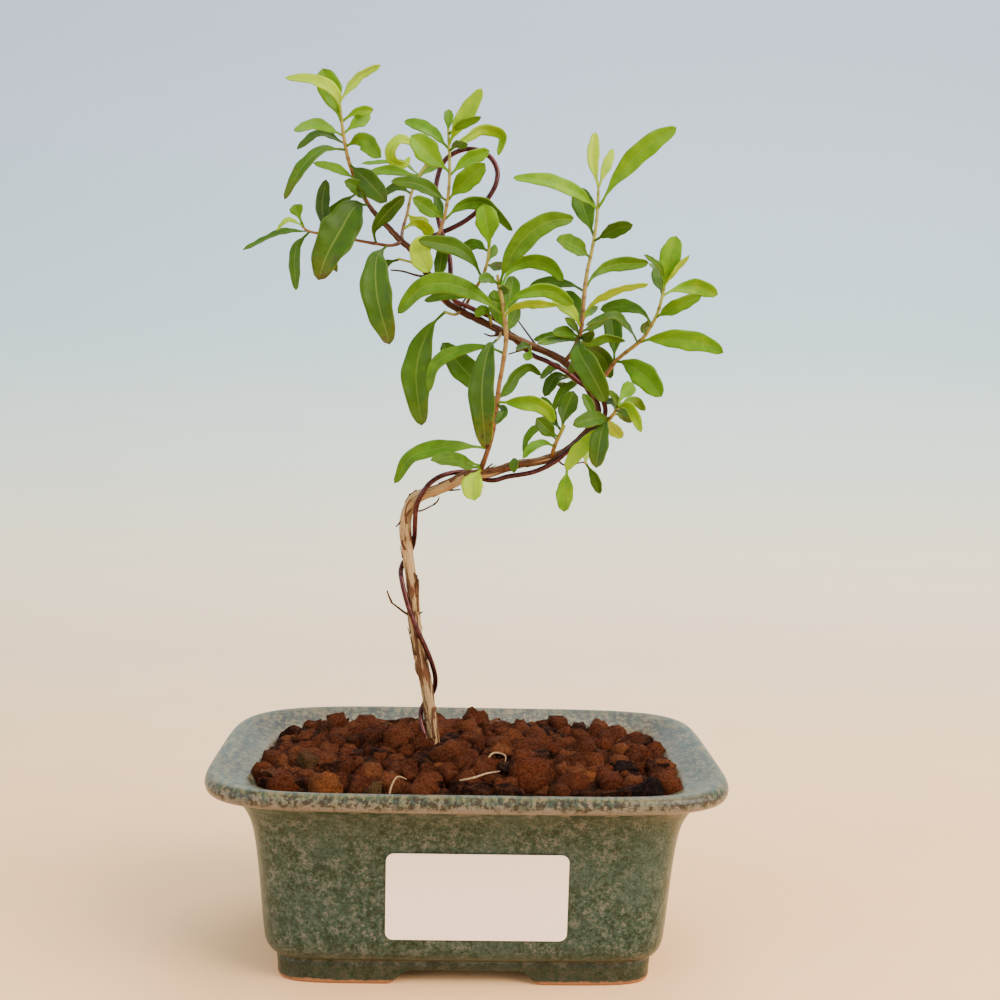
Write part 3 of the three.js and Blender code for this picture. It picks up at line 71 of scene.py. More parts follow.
# Profiles as inset from the lip and height, the first one's insets being from the foot's inner side.
POT_UNDER = rows_of("9 4.2, 1.2 4.1, 0.4 3.6, 0 2, -0.4 0.3, -1 0")
POT_OUTSIDE = rows_of("""
20.9 0, 20.35 0.35, 20.2 2.5, 20 5.4, 20.1 6, 20.3 6.5, 19.9 7, 18.6 7.6, 17.4 8.5, 16.7 9.8, 16.3 11.6,
15.9 15, 15.3 22, 14.8 28, 14.2 34, 13.5 39.5, 12.5 44.5, 11 48.4, 9.2 51.1, 7.2 52.7, 5 53.5, 3.2 53.9,
1.6 54.3, 0.5 55.1, 0.05 56.3, 0 57.1, 0.35 58.1, 1.1 58.8, 2.1 59""")
POT_INSIDE = rows_of("""
3.6 58.8, 6.4 57.9, 9.4 56.8, 11.8 55.7, 13.3 54.1, 15.2 49.5, 17.6 41, 19.6 33, 20.8 22, 21.6 12.6, 23.4 10.2,
26.4 9""")
# The ring under the pot: its width, the height of its openings, each opening's half width below and above,
# how far out the walls with those openings start, and the height where their rise fades out on the outside.
FOOT = {
    "width": 8.5, "roof": 4.0, "front": (21.6, 15.3), "side": (13.0, 8.0), "front_from": 20, "side_from": 38,
    "shoulder": 6.0,
}
# Points in the pot's plan before they are spaced evenly.
PLAN_STEPS = 2400
OUTSIDE_RINGS, INSIDE_RINGS = 120, 40
DRAIN = {"radius": 6, "offset": 26, "depth": 20, "middle": 9, "segments": 48}
LABEL = {"corner": 2.2, "x": 3.0, "z": 27.2, "gap": 0.28, "thickness": 0.22, "corner_steps": 12, "strips": 24}

# ---------------------------------------------------------------- soil and litter, in mm

MOUTH_INSET = 12.6
SOIL = {"rim": 54.6, "crown": 57.2, "half_width": 60.2, "half_depth": 42.2}
GRANULE = {"pitch": 9.4, "row_pitch": 8.1, "jitter": 2.5, "seed": 20}
# Range of sizes and of lifts above the bed's level, of the granules on the lattice, in its hollows and strewn.
LARGE, MEDIUM, CRUMB = ((6.2, 8.8), (-0.9, 1.7)), ((3.8, 6.4), (-1.8, 1.6)), ((2.2, 3.8), (-1.0, 1.6))
TRUNK_FOOT = Vector((-10.3, 5.2))
# Granules that stand out from the rest, as x, y, size, lift, warmth, greenness and blackness.
ODD_GRANULES = rows_of("""
-39 -37.5 8.8 1.9 1 0 0, -46 -17 6 2 0.6 0.6 0, -25.5 -39 6.4 0.2 0.7 0.6 0, 49.5 -36 8.2 1 0.2 0 0.9,
45 -17 6.6 0.6 0.2 0 0.85, 17 -31 9.6 2.6 0.5 0 0, -21 1 9.8 2.2 0.6 0 0, 3 36 8.4 2.6 0.4 0 0,
-5.5 -14 9 2.2 0.65 0 0, 56 -31 8 1.8 0.6 0 0, 30 35 7.6 1.8 0.4 0 0, -41 31 8.4 1.8 0.5 0 0,
-12.5 -38.5 8 1.4 0.65 0 0, 29 -33 8.2 1.4 0.5 0 0, -51 -36 8 1.2 0.5 0 0""")
# Loose things on the soil as x, y, height, radius, the height being what bends the piece.
LITTER = {
    "root_hair_front": rows_of("-21.6 -40 2.6 0.36, -21 -38.8 5.8 0.36, -19.4 -37.4 8 0.36, -17 -36 7 0.34"),
    "root_hair_middle": rows_of("-2.3 -36.9 3 0.36, 1 -38.6 4.2 0.36, 5 -34.4 4.4 0.36, 8.8 -28.2 3.4 0.34"),
    "root_curl": rows_of("5.4 -14 3.4 0.36, 7.6 -10.4 5 0.36, 10.8 -11 4.6 0.36, 11 -15 3.4 0.34"),
    "bark_chip_left": rows_of("-37.6 34 3.4 0.7, -29 32.6 4.2 1, -20 27 3.6 0.6"),
    "bark_chip_middle": rows_of("-7.5 26 3.4 0.6, -5 32 4.2 1, -2.4 38 3.8 0.7"),
    "bark_chip_right": rows_of("7 27 3.4 0.6, 9 33 4.4 0.9, 11 38 3.6 0.6"),
}
DRY_LEAF = {"width": 4.6, "line": rows_of("-57 -27 2.4, -54.6 -32 4, -51 -36.4 3")}

# ---------------------------------------------------------------- the tree's setting out, in mm

TREE_PLANE_Y = 5
VIEW_POINT = Vector((-6, -428, 166.4))
CURVE_STEPS = 24
SHOOT_DEPTH = 2
STEM_SLENDER = 0.9
WIRE_RADIUS = 0.75
FLAKES = 46
# A blade's fold along its midrib, its wave, the share of it that is stalk and that stalk's half width,
# how blunt it is at its base and at its tip, and how far its side veins can spread.
BLADE_FOLD = math.radians(17)
BLADE_WAVE = 0.075
BLADE_STALK, STALK_HALF_WIDTH = 0.1, 0.42
BASE_BLUNTNESS, TIP_BLUNTNESS = 0.95, 0.45
VEIN_SPREAD = 2.2
# Youth, from dark to yellow-green, and how far the tip has browned, by a leaf's letter: y young, p pale,
# b bright, m middling, d dark, s middling and x dark with a spotted tip, o with a dead one.
TONE_VALUES = {
    "y": (0.95, 0.0), "p": (0.84, 0.02), "b": (0.71, 0.04), "m": (0.5, 0.1),
    "d": (0.34, 0.12), "s": (0.43, 0.55), "x": (0.38, 0.55), "o": (0.4, 1.0),
}
# How green a stem turns at its tip, where that is less than wholly.
STEM_RIPENESS = {"shoot_centre": 0.6, "twig_left": 0.4, "shoot_top_left": 0.8, "shoot_lower_right": 0.7}
# How much of the trunk its bark covers, and how rough it is there, along its length.
BARK = rows_of("""
0 0.8 0.5, 0.09 0.72 0.3, 0.12 0.6 0.12, 0.17 0.58 0.12, 0.185 0.95 0.6, 0.205 0.66 0.2, 0.25 0.62 0.12,
0.275 0.5 0.1, 0.285 0.85 0.45, 0.3 0.45 0.06, 0.33 0.32 0, 0.345 0.65 0.35, 0.36 0.32 0, 0.41 0.38 0.05,
0.45 0.58 0.15, 0.5 0.75 0.15, 0.6 0.9 0.25, 0.7 0.8 0.2, 0.86 0.95 0.3, 1 1 0.35""")
# Trunk and main branch as x, z, forward, radius.
TRUNK = rows_of("""
-9.6 33 0 2.1, -10.2 57 0 2.05, -10.5 61.7 0 1.85, -11.8 71.1 0.2 1.8, -12.6 75.8 0.4 1.85, -13.4 79.6 0.6 1.9,
-14.1 82.2 0.7 2.15, -14.5 84.6 0.8 1.9, -16.1 92.9 1 1.75, -16.8 99 1.3 1.8, -17.3 105.2 1.5 1.8,
-18 109.8 1.6 1.7, -18.9 115.3 1.8 1.65, -19.5 119.9 2 1.7, -19.9 123.4 2.2 1.85, -19.8 126.8 2.5 1.75,
-19.1 129.6 2.8 1.7, -17.8 132 3.1 1.8, -15.4 133.9 3.4 1.75, -12.2 135.1 3.7 1.6, -8.8 136.4 4 1.55,
-5.6 137.9 4.2 1.5, -2.6 139.6 4.2 1.45, 0.6 140.6 4.2 1.4, 3.8 140.9 4.1 1.5, 7 141.7 3.9 1.3,
13 143.7 3.3 1.3, 19.2 144.9 2.5 1.1, 25.4 146.8 1.3 1.1, 28.6 148.8 0.6 1.05, 32 152 -0.3 1.05,
35 155.6 -1.2 1.05, 36.8 159.2 -1.8 1.1, 36.3 162.3 -2 1.1, 33.2 167.9 -1.9 1.1, 29.3 172.5 -1.4 1.1,
26.4 174.7 -1 1.05, 22.9 176.6 -0.5 1.05, 14.7 180 0.9 1.1, 5 184.4 2 1, -5 189.2 2.1 1, -9 191.6 1.9 0.95,
-12 194.8 1.5 0.95, -14.2 198.8 1.2 1.05, -17 203.2 0.8 0.88, -20 206.8 0.3 0.85, -23.4 209.8 -0.3 0.88,
-30.8 217.2 -1.6 0.72""")
# Dead twigs, spurs and flakes of bark on the trunk, each as a radius, then points as x, z, forward.
TWIGS = [rows_of(line) for line in """0.42, -16.9 97 1, -19.4 98.3 1.5, -21.2 99.6 1.8, -23.5 101.3 2
0.34, -23.5 101.3 2, -24.6 103.8 2.2, -25 105 2.4
0.36, -16.5 97.6 2, -14.2 98.7 2.6
0.34, -17.3 110.6 2.6, -16.1 109 3.2, -15.8 106.4 3.4
0.36, -19.6 130.4 3, -19.3 132.4 3, -18.7 134.4 3
0.32, -20.4 127 3, -22.7 124.2 3.6
0.36, -19.2 129.8 2.4, -15.6 129.2 -1.4, -11.6 131.1 -1.4
0.32, -11.6 131.1 -1.4, -10.4 132.2 -1.2, -9.9 133.5 -1
0.36, -9.4 136 4, -6.6 135.6 4.6, -3.6 135.9 5
0.32, 3.2 141.6 4.6, 5.9 143.9 5.4
0.38, -14.2 199 1.4, -17 198.9 2, -22.3 200.2 2.2, -25.6 200.4 2
0.42, -5.2 189.4 1.4, -4.2 191.3 0.2, -3.1 192.8 0
0.95, 6.6 183.2 2.2, 6.2 182 3
0.34, 6.2 182 3, 4.2 181.8 3.6, 2.4 182.5 3.8
0.32, 4.4 185 1.4, 3 189.8 0.2
0.32, 18.4 178.8 0, 10.8 188.6 -2
0.34, 17 178.9 0.6, 9.8 176.5 2.4
0.34, 24.4 146.4 1.4, 27 144 1.2, 30.4 144.3 1, 33 144.9 0.8""".splitlines()]
# Centre line of the training wire as x, z, forward.
WIRE_LINE = rows_of("""
-8.6 40 3.6, -9.8 52 3.6, -11.4 57.6 3.4, -13.2 61.8 2.6, -14.2 66 0.6, -13.8 69.6 -1.9, -12 72 -2.9,
-10.4 75 -1.7, -10 78.4 0.9, -10.9 82.4 2.5, -13.1 87.8 3.5, -15.7 93.2 4, -18 98.6 4, -19.6 103.8 3.4,
-20.6 108 2.6, -21 111 0.9, -20.3 113.5 -0.7, -19 115.7 -1.2, -17.7 118.2 -0.2, -17.1 121.4 2.4, -17 125.4 4.2,
-16.8 129.4 5.1, -16 132.6 6.1, -14.8 134.8 6.6, -13.4 136.9 6.2, -11.4 138.7 5.4, -8.8 140.1 4.4, -5.8 140.9 3,
-2.6 141.2 1.8, 0.4 140.4 1.4, 3.4 139.1 2, 6.6 138.9 2.8, 10.2 140 3.2, 14 140.7 3, 17.8 141.5 2.8,
21.4 143 2.8, 25 145.2 3.4, 28.4 148.2 3.1, 31.6 151 2.4, 34.7 153.4 1.5, 37.8 156.3 -0.1, 39.2 159.8 -1,
38.5 163.1 -0.3, 36.2 165.4 0.4, 33.6 167.2 0.6, 31.2 168.6 0, 27.6 171.4 0.2, 24.2 173.3 0.8, 20.8 174.9 1,
17.4 176.2 -0.2, 14 178.7 -1.6, 10.8 181.6 -1.4, 8.3 185 -0.3, 4.9 187.2 1.5, 1 188.7 3.3, -3 190.5 4,
-6.4 191.9 4.2, -8 194.6 4, -7.9 199 3.4, -8.2 204 2.2, -9.8 209 0.4, -11.4 214 -1, -12.4 219 -2.2,
-12.8 223.4 -3, -12.2 228 -3.4, -11 231.6 -3.6, -8.4 234.4 -3.8, -4 236.2 -4, 0.4 235.7 -4, 3.7 233.4 -3.8,
5.3 230 -3.6, 4.9 226.2 -3.2, 2.8 222.2 -2.8, -0.2 218.4 -2.4, -3.8 215.4 -2.2, -8 213 -2, -12 211.2 -2,
-15.4 209 -1.8, -17.6 206.6 -1.4""")
# Each shoot, with semicolons between its rows: its stem as x, z, forward, radius, then each leaf as its
# letter, width, roll in degrees and place of the broadest point, and its midrib as x, z, forward.
SHOOTS = {
    "shoot_top_left": """
-30.8 217.2 -1.6 0.8, -32.6 219.6 -1.6 0.75, -36 226 -1 0.7, -38.3 231.5 0 0.65, -39.6 237 0.4 0.6,
-40.6 243 0.6 0.55, -41.4 249 0.8 0.5;
b 7.2 12 0.62, -40.6 242.6 0.6, -43.9 251.2 2, -46.4 258.2 3;
y 3.9 35 0.5, -41 245.8 0.7, -42.6 251.4 5, -48.6 254.6 6.4, -57.2 255.2 7;
y 3.8 45 0.5, -41.3 248.6 0.8, -36.2 256.1 -1, -29.5 259.7 -3;
b 3.1 20 0.65, -40.6 243 0.6, -36.6 246 1, -31.3 246.8 0;
b 4.6 25 0.6, -40 239.5 0.5, -36.5 243 0, -32.4 246 -2;
b 3.8 30 0.5, -40 239 0.4, -47.3 241.9 3, -54.5 240.1 6;
m 3.5 45 0.5, -39.6 236.8 0.4, -47 239.4 -2, -53.6 234.8 -3;
s 4.1 35 0.5, -39.3 235 0.3, -46 234.8 3, -52 229.4 5, -57 220.2 6;
b 5.5 15 0.55, -39.3 236 0.3, -34.4 238 2, -29 233 3;
b 3.1 30 0.5, -36.4 226.8 -0.8, -42 229.4 1, -48.8 231 2;
d 7 10 0.5, -38 230.8 0, -32.8 226.2 1.6, -27.1 220.2 3;
m 4.6 20 0.55, -33.2 220.6 -1.5, -35.2 223.6 1, -39.6 226 2.4;
x 11.2 8 0.45, -32.4 219.4 -1.6, -36.3 218.4 0.8, -40.4 211.7 2.3, -44.5 204 3, -46.8 197 3;
x 5 30 0.5, -34.6 223.4 -1.3, -41 218.4 -3.6, -44.6 211 -5, -41.4 199.4 -5""",
    "twig_left": """
-22.4 208.6 0.6 0.6, -25.6 207.6 1.4 0.55, -30 208 1.6 0.55, -36.5 209 1.2 0.5, -43 210.2 0.8 0.48,
-50 211.2 0.6 0.45, -51.8 212.6 0.6 0.42;
b 4.4 10 0.8, -51.4 212.4 0.6, -54.2 218.8 1.4;
y 2.8 65 0.5, -51.4 212.5 0.6, -55.4 214 2, -59.2 211.2 3;
m 3.5 62 0.5, -49.6 211.1 0.6, -57 210.6 -1, -69 205.2 -3;
m 3.7 20 0.5, -49.6 211 0.6, -53.4 206 2, -53.3 193.8 3;
d 4.6 20 0.6, -30 208.2 1.6, -30.6 212 3.4, -26.6 217.6 4.6, -21.8 222.2 5;
s 9.2 8 0.5, -26.6 207.6 1.5, -29.6 204 4.6, -29.4 193 6, -25.4 178.6 6.4;
d 4.6 14 0.55, -41.4 209.9 0.9, -44.8 213.4 0.2, -46 218.8 -0.6, -44.9 226.3 -1.2""",
    "leaf_upper_left_back": """
-15.2 199.8 0.8 0.5, -19 202.6 -2.4 0.42, -23.4 203.8 -3.4 0.42;
d 5.5 12 0.5, -22.8 203.7 -3.3, -27.4 201.6 -4.4, -29 187.6 -5.6""",
    "shoot_upper_back": """
-22.4 208.9 -0.3 0.6, -22.3 212 -3 0.55, -21 217 -5 0.5, -19.8 223 -6.4 0.5, -17.6 228.4 -7.4 0.48,
-15.2 232.4 -8 0.45, -14.6 235 -8.4 0.42;
y 3.6 25 0.5, -14.8 234 -8.2, -19.8 237.3 -7.6, -23.6 238.5 -7, -25.9 235.7 -6.6, -25.7 232.6 -7,
-22.3 231.2 -7.6, -20.4 233.5 -8.4;
b 3.2 20 0.5, -17.8 228 -7.3, -26.7 229.4 -5.6, -33.1 228.2 -4;
b 2.8 60 0.5, -17.8 228.2 -7.3, -22.5 231.4 -9.4, -34.6 231.2 -12;
m 2.6 20 0.6, -17.6 227.8 -7.4, -15 230.2 -10, -11.6 231.6 -12;
b 3.1 20 0.6, -15.4 231.8 -8, -16 234.4 -10, -18 238 -12;
m 3.1 30 0.55, -19.8 222.8 -6.4, -24 224.6 -8, -28.2 222.4 -10;
y 3.9 15 0.55, -21 217 -5, -19 215.4 -7, -14.6 214.4 -10;
y 3.9 25 0.5, -22.2 212.4 -3.2, -18 214.6 -4.6, -14.2 211.4 -6, -17.6 207 -6.4""",
    "shoot_upper_middle": """
-17 203.6 0.8 0.65, -14.4 207.2 3 0.62, -11.6 211.4 3.4 0.6, -10.2 215.6 3.4 0.58, -9.3 220.4 3.6 0.55,
-8.8 226 3.6 0.52, -8.8 232 3.4 0.5, -9.1 237.4 3.2 0.48, -9.4 242 3 0.45;
y 5 12 0.52, -9.2 237.2 3.2, -6.6 242.8 4.6, 0.2 253.8 5.6;
b 3.1 30 0.55, -9.3 240.4 3.1, -5 243.6 6, 0.2 245.6 8;
b 3.1 15 0.6, -9.4 241 3, -9.4 247.6 2.4;
b 4.4 30 0.5, -9 236 3.2, -13.8 240.4 1.6, -17.8 242.6 0, -22.3 243.7 -1.6;
p 7.4 12 0.6, -8.8 229.4 3.5, -14.8 234.5 5.4, -20.2 239.7 6.6;
b 4.6 18 0.6, -8.9 228.2 3.6, -4.1 232.8 3.4, 2.9 236 3;
b 6.6 14 0.55, -8.9 221.4 3.6, -4.6 226.6 5.6, 1.6 232.2 7;
y 4 35 0.5, -9 235.4 3.2, -4.4 239.2 1, 1.4 242.2 -1, 6.8 240.2 -2, 5.4 234.6 -2;
m 3.1 35 0.6, -9 235.6 3.2, -6.4 237.6 6, -3.6 237.6 8;
m 4.4 30 0.42, -9.9 215.6 3.4, -5.2 219.8 2.8, 1.4 220.8 1.8, 10.2 212.8 0.4;
m 4.6 20 0.45, -9.3 221 3.6, -17.5 225.5 5, -25.9 226.3 6;
m 5 20 0.55, -10.2 215.8 3.4, -15.1 218.8 6, -19.5 221.6 8;
m 2.6 10 0.6, -10.3 215 3.4, -11.4 219 2, -12.8 222.4 0.6;
y 6.8 10 0.6, -12.4 210.2 3.3, -15.8 209.6 4.6, -16.8 205.4 5.4, -14.2 200 5.6;
m 4.1 10 0.55, -12.2 210.6 3.3, -10.6 207.2 3.5, -11.4 198.6 3.8""",
    "shoot_upper_centre": """
-4 188.7 2.1 0.6, -3.2 190.6 -0.2 0.58, -1 194.8 1.8 0.55, 1.4 198.8 3.4 0.52, 2.8 203 3.8 0.5,
3.4 208.6 4 0.48, 3.7 213 4 0.45;
m 5.2 12 0.55, 1.4 198.8 3.4, -1 203.2 4.6, -5.4 207 5.6, -17.6 209.4 7.2;
b 7.2 10 0.6, 3.3 207.4 4, 2.8 213 5, 1.4 220.4 6;
m 2.4 30 0.5, 3.6 210 4, 4.4 217.2 4.6;
m 3.9 15 0.55, 3.2 206.6 3.9, -0.6 208.4 1.6, -4.8 207.4 -0.4;
m 2.8 30 0.6, 3.2 203.8 3.8, 5.4 208.4 1;
m 3.3 30 0.55, 2.8 202.6 3.8, 5.4 202.6 1, 8 202.2 -1.4""",
    "shoot_centre": """
1.8 141 4.2 0.95, 2.6 142.8 6.4 0.9, 3.5 145.4 7.2 0.85, 4.5 148.6 7.4 0.82, 5.4 152 7.6 0.8, 6.2 157 7.8 0.78,
6.8 162 8.2 0.85, 7.2 167 8.4 0.74, 8 172 8.6 0.72, 8.6 176.4 8.8 0.78, 9 180.4 8.6 0.74, 8.8 184.4 8.4 0.72,
8.3 188.2 8 0.74, 7.4 193 7.6 0.66, 6.5 196.6 7.2 0.64, 6 199.8 7 0.5;
m 6.1 12 0.5, 8.2 187.6 8, 2 192.6 9.6, -8 196.8 10, -16 195.6 9.6, -23.2 187.8 8.6;
m 3.5 25 0.6, 7.6 192 7.6, -2 193.8 6.6, -9 193.4 6, -15.6 191.6 5;
m 6.8 12 0.5, 6.6 196.4 7.2, 8.4 202.4 8.6, 13 210 9.4, 20 215.6 9.4, 28.2 217 8.4;
b 4.8 18 0.6, 6.8 195.6 7.3, 10.4 202 5.2, 16.8 204.2 4.6, 22 202.6 4, 25.6 198.6 3.6;
m 3.7 30 0.6, 6.4 197 7.2, 3.6 198.6 9.6, 0.6 197.6 12;
m 2.8 30 0.6, 6.6 196 7.2, 9.6 195.4 10;
b 4.6 16 0.6, 8.3 188 8, 9.6 191.8 8.4, 14 194.6 8.6, 21.4 195.6 8, 28.8 191.6 6.4;
y 3.9 52 0.5, 8.3 187.2 8, 11 190.6 10, 17 191.8 11.6, 24.2 191.6 12;
m 5.5 12 0.6, 8.3 188.4 8, 9.8 193 5, 10.8 199.6 3;
m 5.5 12 0.6, 8.9 183 8.4, 6.6 188.4 6.4, 5 195.4 5;
m 4.1 20 0.6, 8.9 182.4 8.4, 10.6 186.6 6.6, 12.2 191 5.4;
m 4.1 25 0.55, 8.6 176.6 8.8, 3.4 178.4 7.4, -5.6 176.8 7.4, -11.6 173 7.8, -13.6 164.8 8.4;
m 8 8 0.55, 6.8 163 8.2, 0 168.5 5.4, -5.5 174 4.2, -9.9 179.4 4;
b 4.8 14 0.5, 6.8 162.2 8.2, 12 162.2 9.4, 17 162.2 9.8, 21.4 160.4 9.4, 24 156.6 8.6;
m 3.9 25 0.35, 6.9 163 8.2, 9.6 166.2 6, 12.8 171 4, 16.4 172.8 3, 19.8 170.4 2.4;
d 3.1 25 0.55, 6.8 161.6 8.1, 8.8 159.6 11, 6.6 155.6 13.4;
m 5 22 0.5, 4.4 148.4 7.4, -3.1 148.9 8.6, -9.6 148.2 9.2, -18.4 145.2 9, -23.3 137.3 8;
m 4.2 22 0.55, 2.7 143 6.5, -2.8 144.4 8.6, -7.5 145.2 11, -12.7 144.5 13;
m 3.3 25 0.6, 2.6 142.6 6.4, -1.4 142.8 10, -5 144.2 13, -11 143.8 16;
y 6.6 10 0.6, 2.4 142.4 6.2, 0.1 137.9 8.4, 0.6 132.6 9.2""",
    "leaf_centre_hanging": """
7.4 183 1.8 0.5, 6.9 181.4 4.6 0.45, 6 180.4 7.2 0.45;
o 7.6 8 0.55, 6.2 180.6 6.8, 4 178 11, 2.2 167 13, 3.7 148.2 13""",
    "leaf_left_hanging": """
-4.4 188.9 2.1 0.5, -6.6 187.8 3.6 0.45, -9.6 188.6 4 0.45;
s 8.7 8 0.5, -9.2 188.5 4, -13.2 184.4 4.2, -17.4 172 4.4, -15.6 154.8 4.6""",
    "leaf_small_top": """
4.6 184.6 2 0.45, 4.2 187.4 4.8 0.42;
m 3.1 15 0.6, 4.2 187 4.6, 2.6 189.6 5, -0.4 187.4 5.4""",
    "leaf_pair_middle": """
16.4 179.3 0.7 0.42, 16.3 177.8 2.6 0.42;
b 3.1 12 0.65, 16.4 178 2.4, 15.2 174.8 4;
d 2.8 45 0.55, 16.4 178.2 2.2, 14.8 179 4, 12 177.6 5.4""",
    "shoot_inner": """
26.6 174.7 -1 0.8, 28.4 177 -0.2 0.78, 29.8 179.8 0.6 0.74, 31 183 1 0.72, 31.6 187.6 1 0.68, 31.8 192 0.8 0.66,
32 195.8 0.4 0.76, 32.7 202 0 0.62, 33.6 206.4 -0.4 0.6, 34.5 212 -0.8 0.56, 35.1 218 -1.2 0.54,
35.3 226.6 -1.6 0.46;
y 3.9 15 0.55, 35.3 226 -1.6, 33.4 234 -1.2, 33.8 242.2 -1.6;
y 3.3 25 0.55, 35.3 226 -1.6, 37 231.6 -3.4, 39.3 237.4 -6;
b 6.4 10 0.6, 35.2 219.8 -1.3, 41.6 230.5 0.6, 49.8 239 2.4, 57.8 244.2 3;
p 4.6 20 0.45, 35.2 219.8 -1.3, 28.9 224.4 1.4, 20.3 227.7 3, 10 228.2 4;
m 7 12 0.6, 34.4 211.6 -0.8, 31.8 218 -2.8, 29 226 -4.6;
m 4.8 18 0.6, 34.3 210.4 -0.7, 38.8 213.1 2, 42.1 214.7 4, 45.8 215.5 5.4;
m 5.8 25 0.55, 33.4 205.6 -0.3, 29.6 208.3 3.4, 26.3 209.8 6, 23.3 210.5 8;
m 4.6 18 0.6, 32.1 196.4 0.4, 35 200.8 -1.6, 40 203.6 -3, 50.8 204.5 -5;
m 3.9 25 0.6, 32 195.6 0.4, 28.2 197.3 -1.4, 21.6 197.9 -3.4, 15.5 196.7 -5;
y 4.2 58 0.55, 31.6 188.6 1, 34.4 192 3, 41 196.4 5, 51 198.3 6.6;
m 5.5 15 0.6, 31.3 185.2 1, 29.8 190 -2, 26.4 195.6 -4;
y 3.9 18 0.6, 31.2 184.8 1, 28.4 189.4 2.6, 22.4 193 3.6;
m 2.8 35 0.6, 31.4 186.6 1, 33.6 189.8 -2, 36 190.8 -5;
m 2.8 30 0.6, 31 183.4 1, 34.6 185.4 -1.4, 39 187.8 -3.4;
m 2.6 25 0.6, 30.8 182.8 0.9, 29 185.4 3.4, 26.4 187.6 5.4;
m 3.7 18 0.6, 30.6 182.2 0.8, 27 183.4 3.4, 22.6 183 5;
m 3.1 35 0.6, 30.4 181.6 0.8, 24 182.2 -2, 17.2 181 -4.6;
m 3.3 40 0.6, 30.2 181 0.7, 25 181.2 3, 18.4 179.8 5.2;
d 3.3 15 0.6, 30.6 182 0.8, 33 182 3.6, 35 184 5.4;
m 3.1 30 0.5, 30.2 180.8 0.7, 34.4 180.4 -2, 39 182 -3, 44.6 181.2 -3.6;
m 7.4 8 0.6, 30.6 182 0.8, 31 177.4 6, 34.6 171.6 8, 39.4 163 8;
m 5.2 15 0.6, 30 180.2 0.7, 34.6 178.6 -3.6, 38.6 175.6 -6, 40.6 170 -7;
d 3.3 15 0.6, 29.6 179.4 0.6, 30.8 175.6 4.4, 28 171.2 5""",
    "shoot_right": """
34.9 165.4 -2 0.75, 37.6 169.2 -4.2 0.72, 40 172.6 -4.4 0.7, 41.5 174.8 -4 0.78, 44 177.2 -3.4 0.66,
48.3 180.7 -2.2 0.72, 50.4 183 -1.4 0.62, 52 185.8 -0.8 0.64, 53.4 188.4 -0.4 0.58, 54.6 192 0 0.54,
55.4 196 0.2 0.5, 56.1 200 0.4 0.45;
b 6.5 10 0.6, 55.5 196.4 0.2, 56.4 204 1.4, 58.8 212.6 2;
m 5 14 0.55, 55.2 195.2 0.2, 54 199.6 -2, 54.2 204 -4;
m 2.8 55 0.5, 56 199.6 0.4, 53.8 203.4 2.6, 49.4 206.8 4.6;
y 2.8 55 0.5, 55.8 198 0.3, 59.6 203.8 2, 62.9 207 3;
m 2.6 50 0.5, 55.3 195.6 0.2, 53.8 201.6 -4, 51 204.4 -7;
b 5.2 14 0.65, 55.2 194.8 0.1, 58.4 196.6 -1.4, 65 198 -2.4, 71.8 195.6 -3;
b 4.6 18 0.5, 53.5 188.4 -0.4, 58.6 191.6 2.4, 67 195.4 4;
m 4.6 22 0.6, 52 186.2 -0.8, 50.2 189.2 -2, 44.6 191.4 -3.4, 36.8 190.4 -4.6;
d 3.5 50 0.55, 48.3 180.8 -2.2, 45 185.6 1.6, 40.6 188.4 4.4, 32.6 185.6 6.4;
d 6.1 10 0.65, 41.4 175 -4, 41.2 181 -6, 40 188.6 -8;
m 2.8 35 0.6, 50.6 183.2 -1.4, 50 185.4 1.6, 51.2 187.4 3.4;
b 6.3 10 0.5, 48.6 180.9 -2.2, 52.4 182 -1, 61 182.2 0.8, 69.6 180.8 2.2, 74 178.4 3;
b 7.6 8 0.55, 41.8 175 -3.9, 44.4 174.8 -2.4, 50.6 171.2 -0.4, 56 165 1""",
    "shoot_lower_right": """
35.7 157.1 -1.4 0.75, 36.3 157.2 1.2 0.72, 38 157.6 2.8 0.7, 40.3 158 3.4 0.7, 41.8 159.6 4 0.6,
42.8 161.8 4.2 0.5;
b 4.6 14 0.75, 42.8 161.6 4.2, 44 164.6 3, 47.2 168.8 2;
m 2.6 35 0.55, 42.6 161.4 4.2, 42 164 6.6, 39.8 166.4 8.4;
m 2.8 20 0.6, 42.2 160.6 4.1, 41.6 162.6 0.6, 39.4 163.6 -2;
y 3.5 25 0.55, 42.7 161.4 4.2, 46 162 6.4, 48.2 159 7.6, 50.2 154.2 8;
b 3.3 25 0.6, 42.8 161.6 4.2, 46 163.6 1, 49 163 -1.6, 51 160.6 -3;
m 3.1 30 0.6, 41.6 159.4 3.9, 44.4 159.4 1, 47 157 -1;
m 2.6 40 0.6, 42.2 160.4 4.1, 44.6 160.4 7.4, 46.4 158.8 10;
m 5 14 0.55, 40.3 158.2 3.4, 36 158 6.4, 29.6 155.8 8;
s 5.9 10 0.6, 40.2 157.9 3.4, 38.4 154.6 6.4, 36.8 143.2 7.4;
y 4.8 22 0.5, 40.4 158 3.4, 41.6 155.4 -0.6, 44.4 152.4 -3;
y 4.9 20 0.55, 39.8 157.8 3.2, 36 152.6 4.8, 31 147.4 5, 27.8 142.2 4.6;
m 3.1 18 0.6, 38.6 157.6 2.2, 36.4 158.2 2.4, 34 162.6 1.8, 32.2 165.4 1.6""",
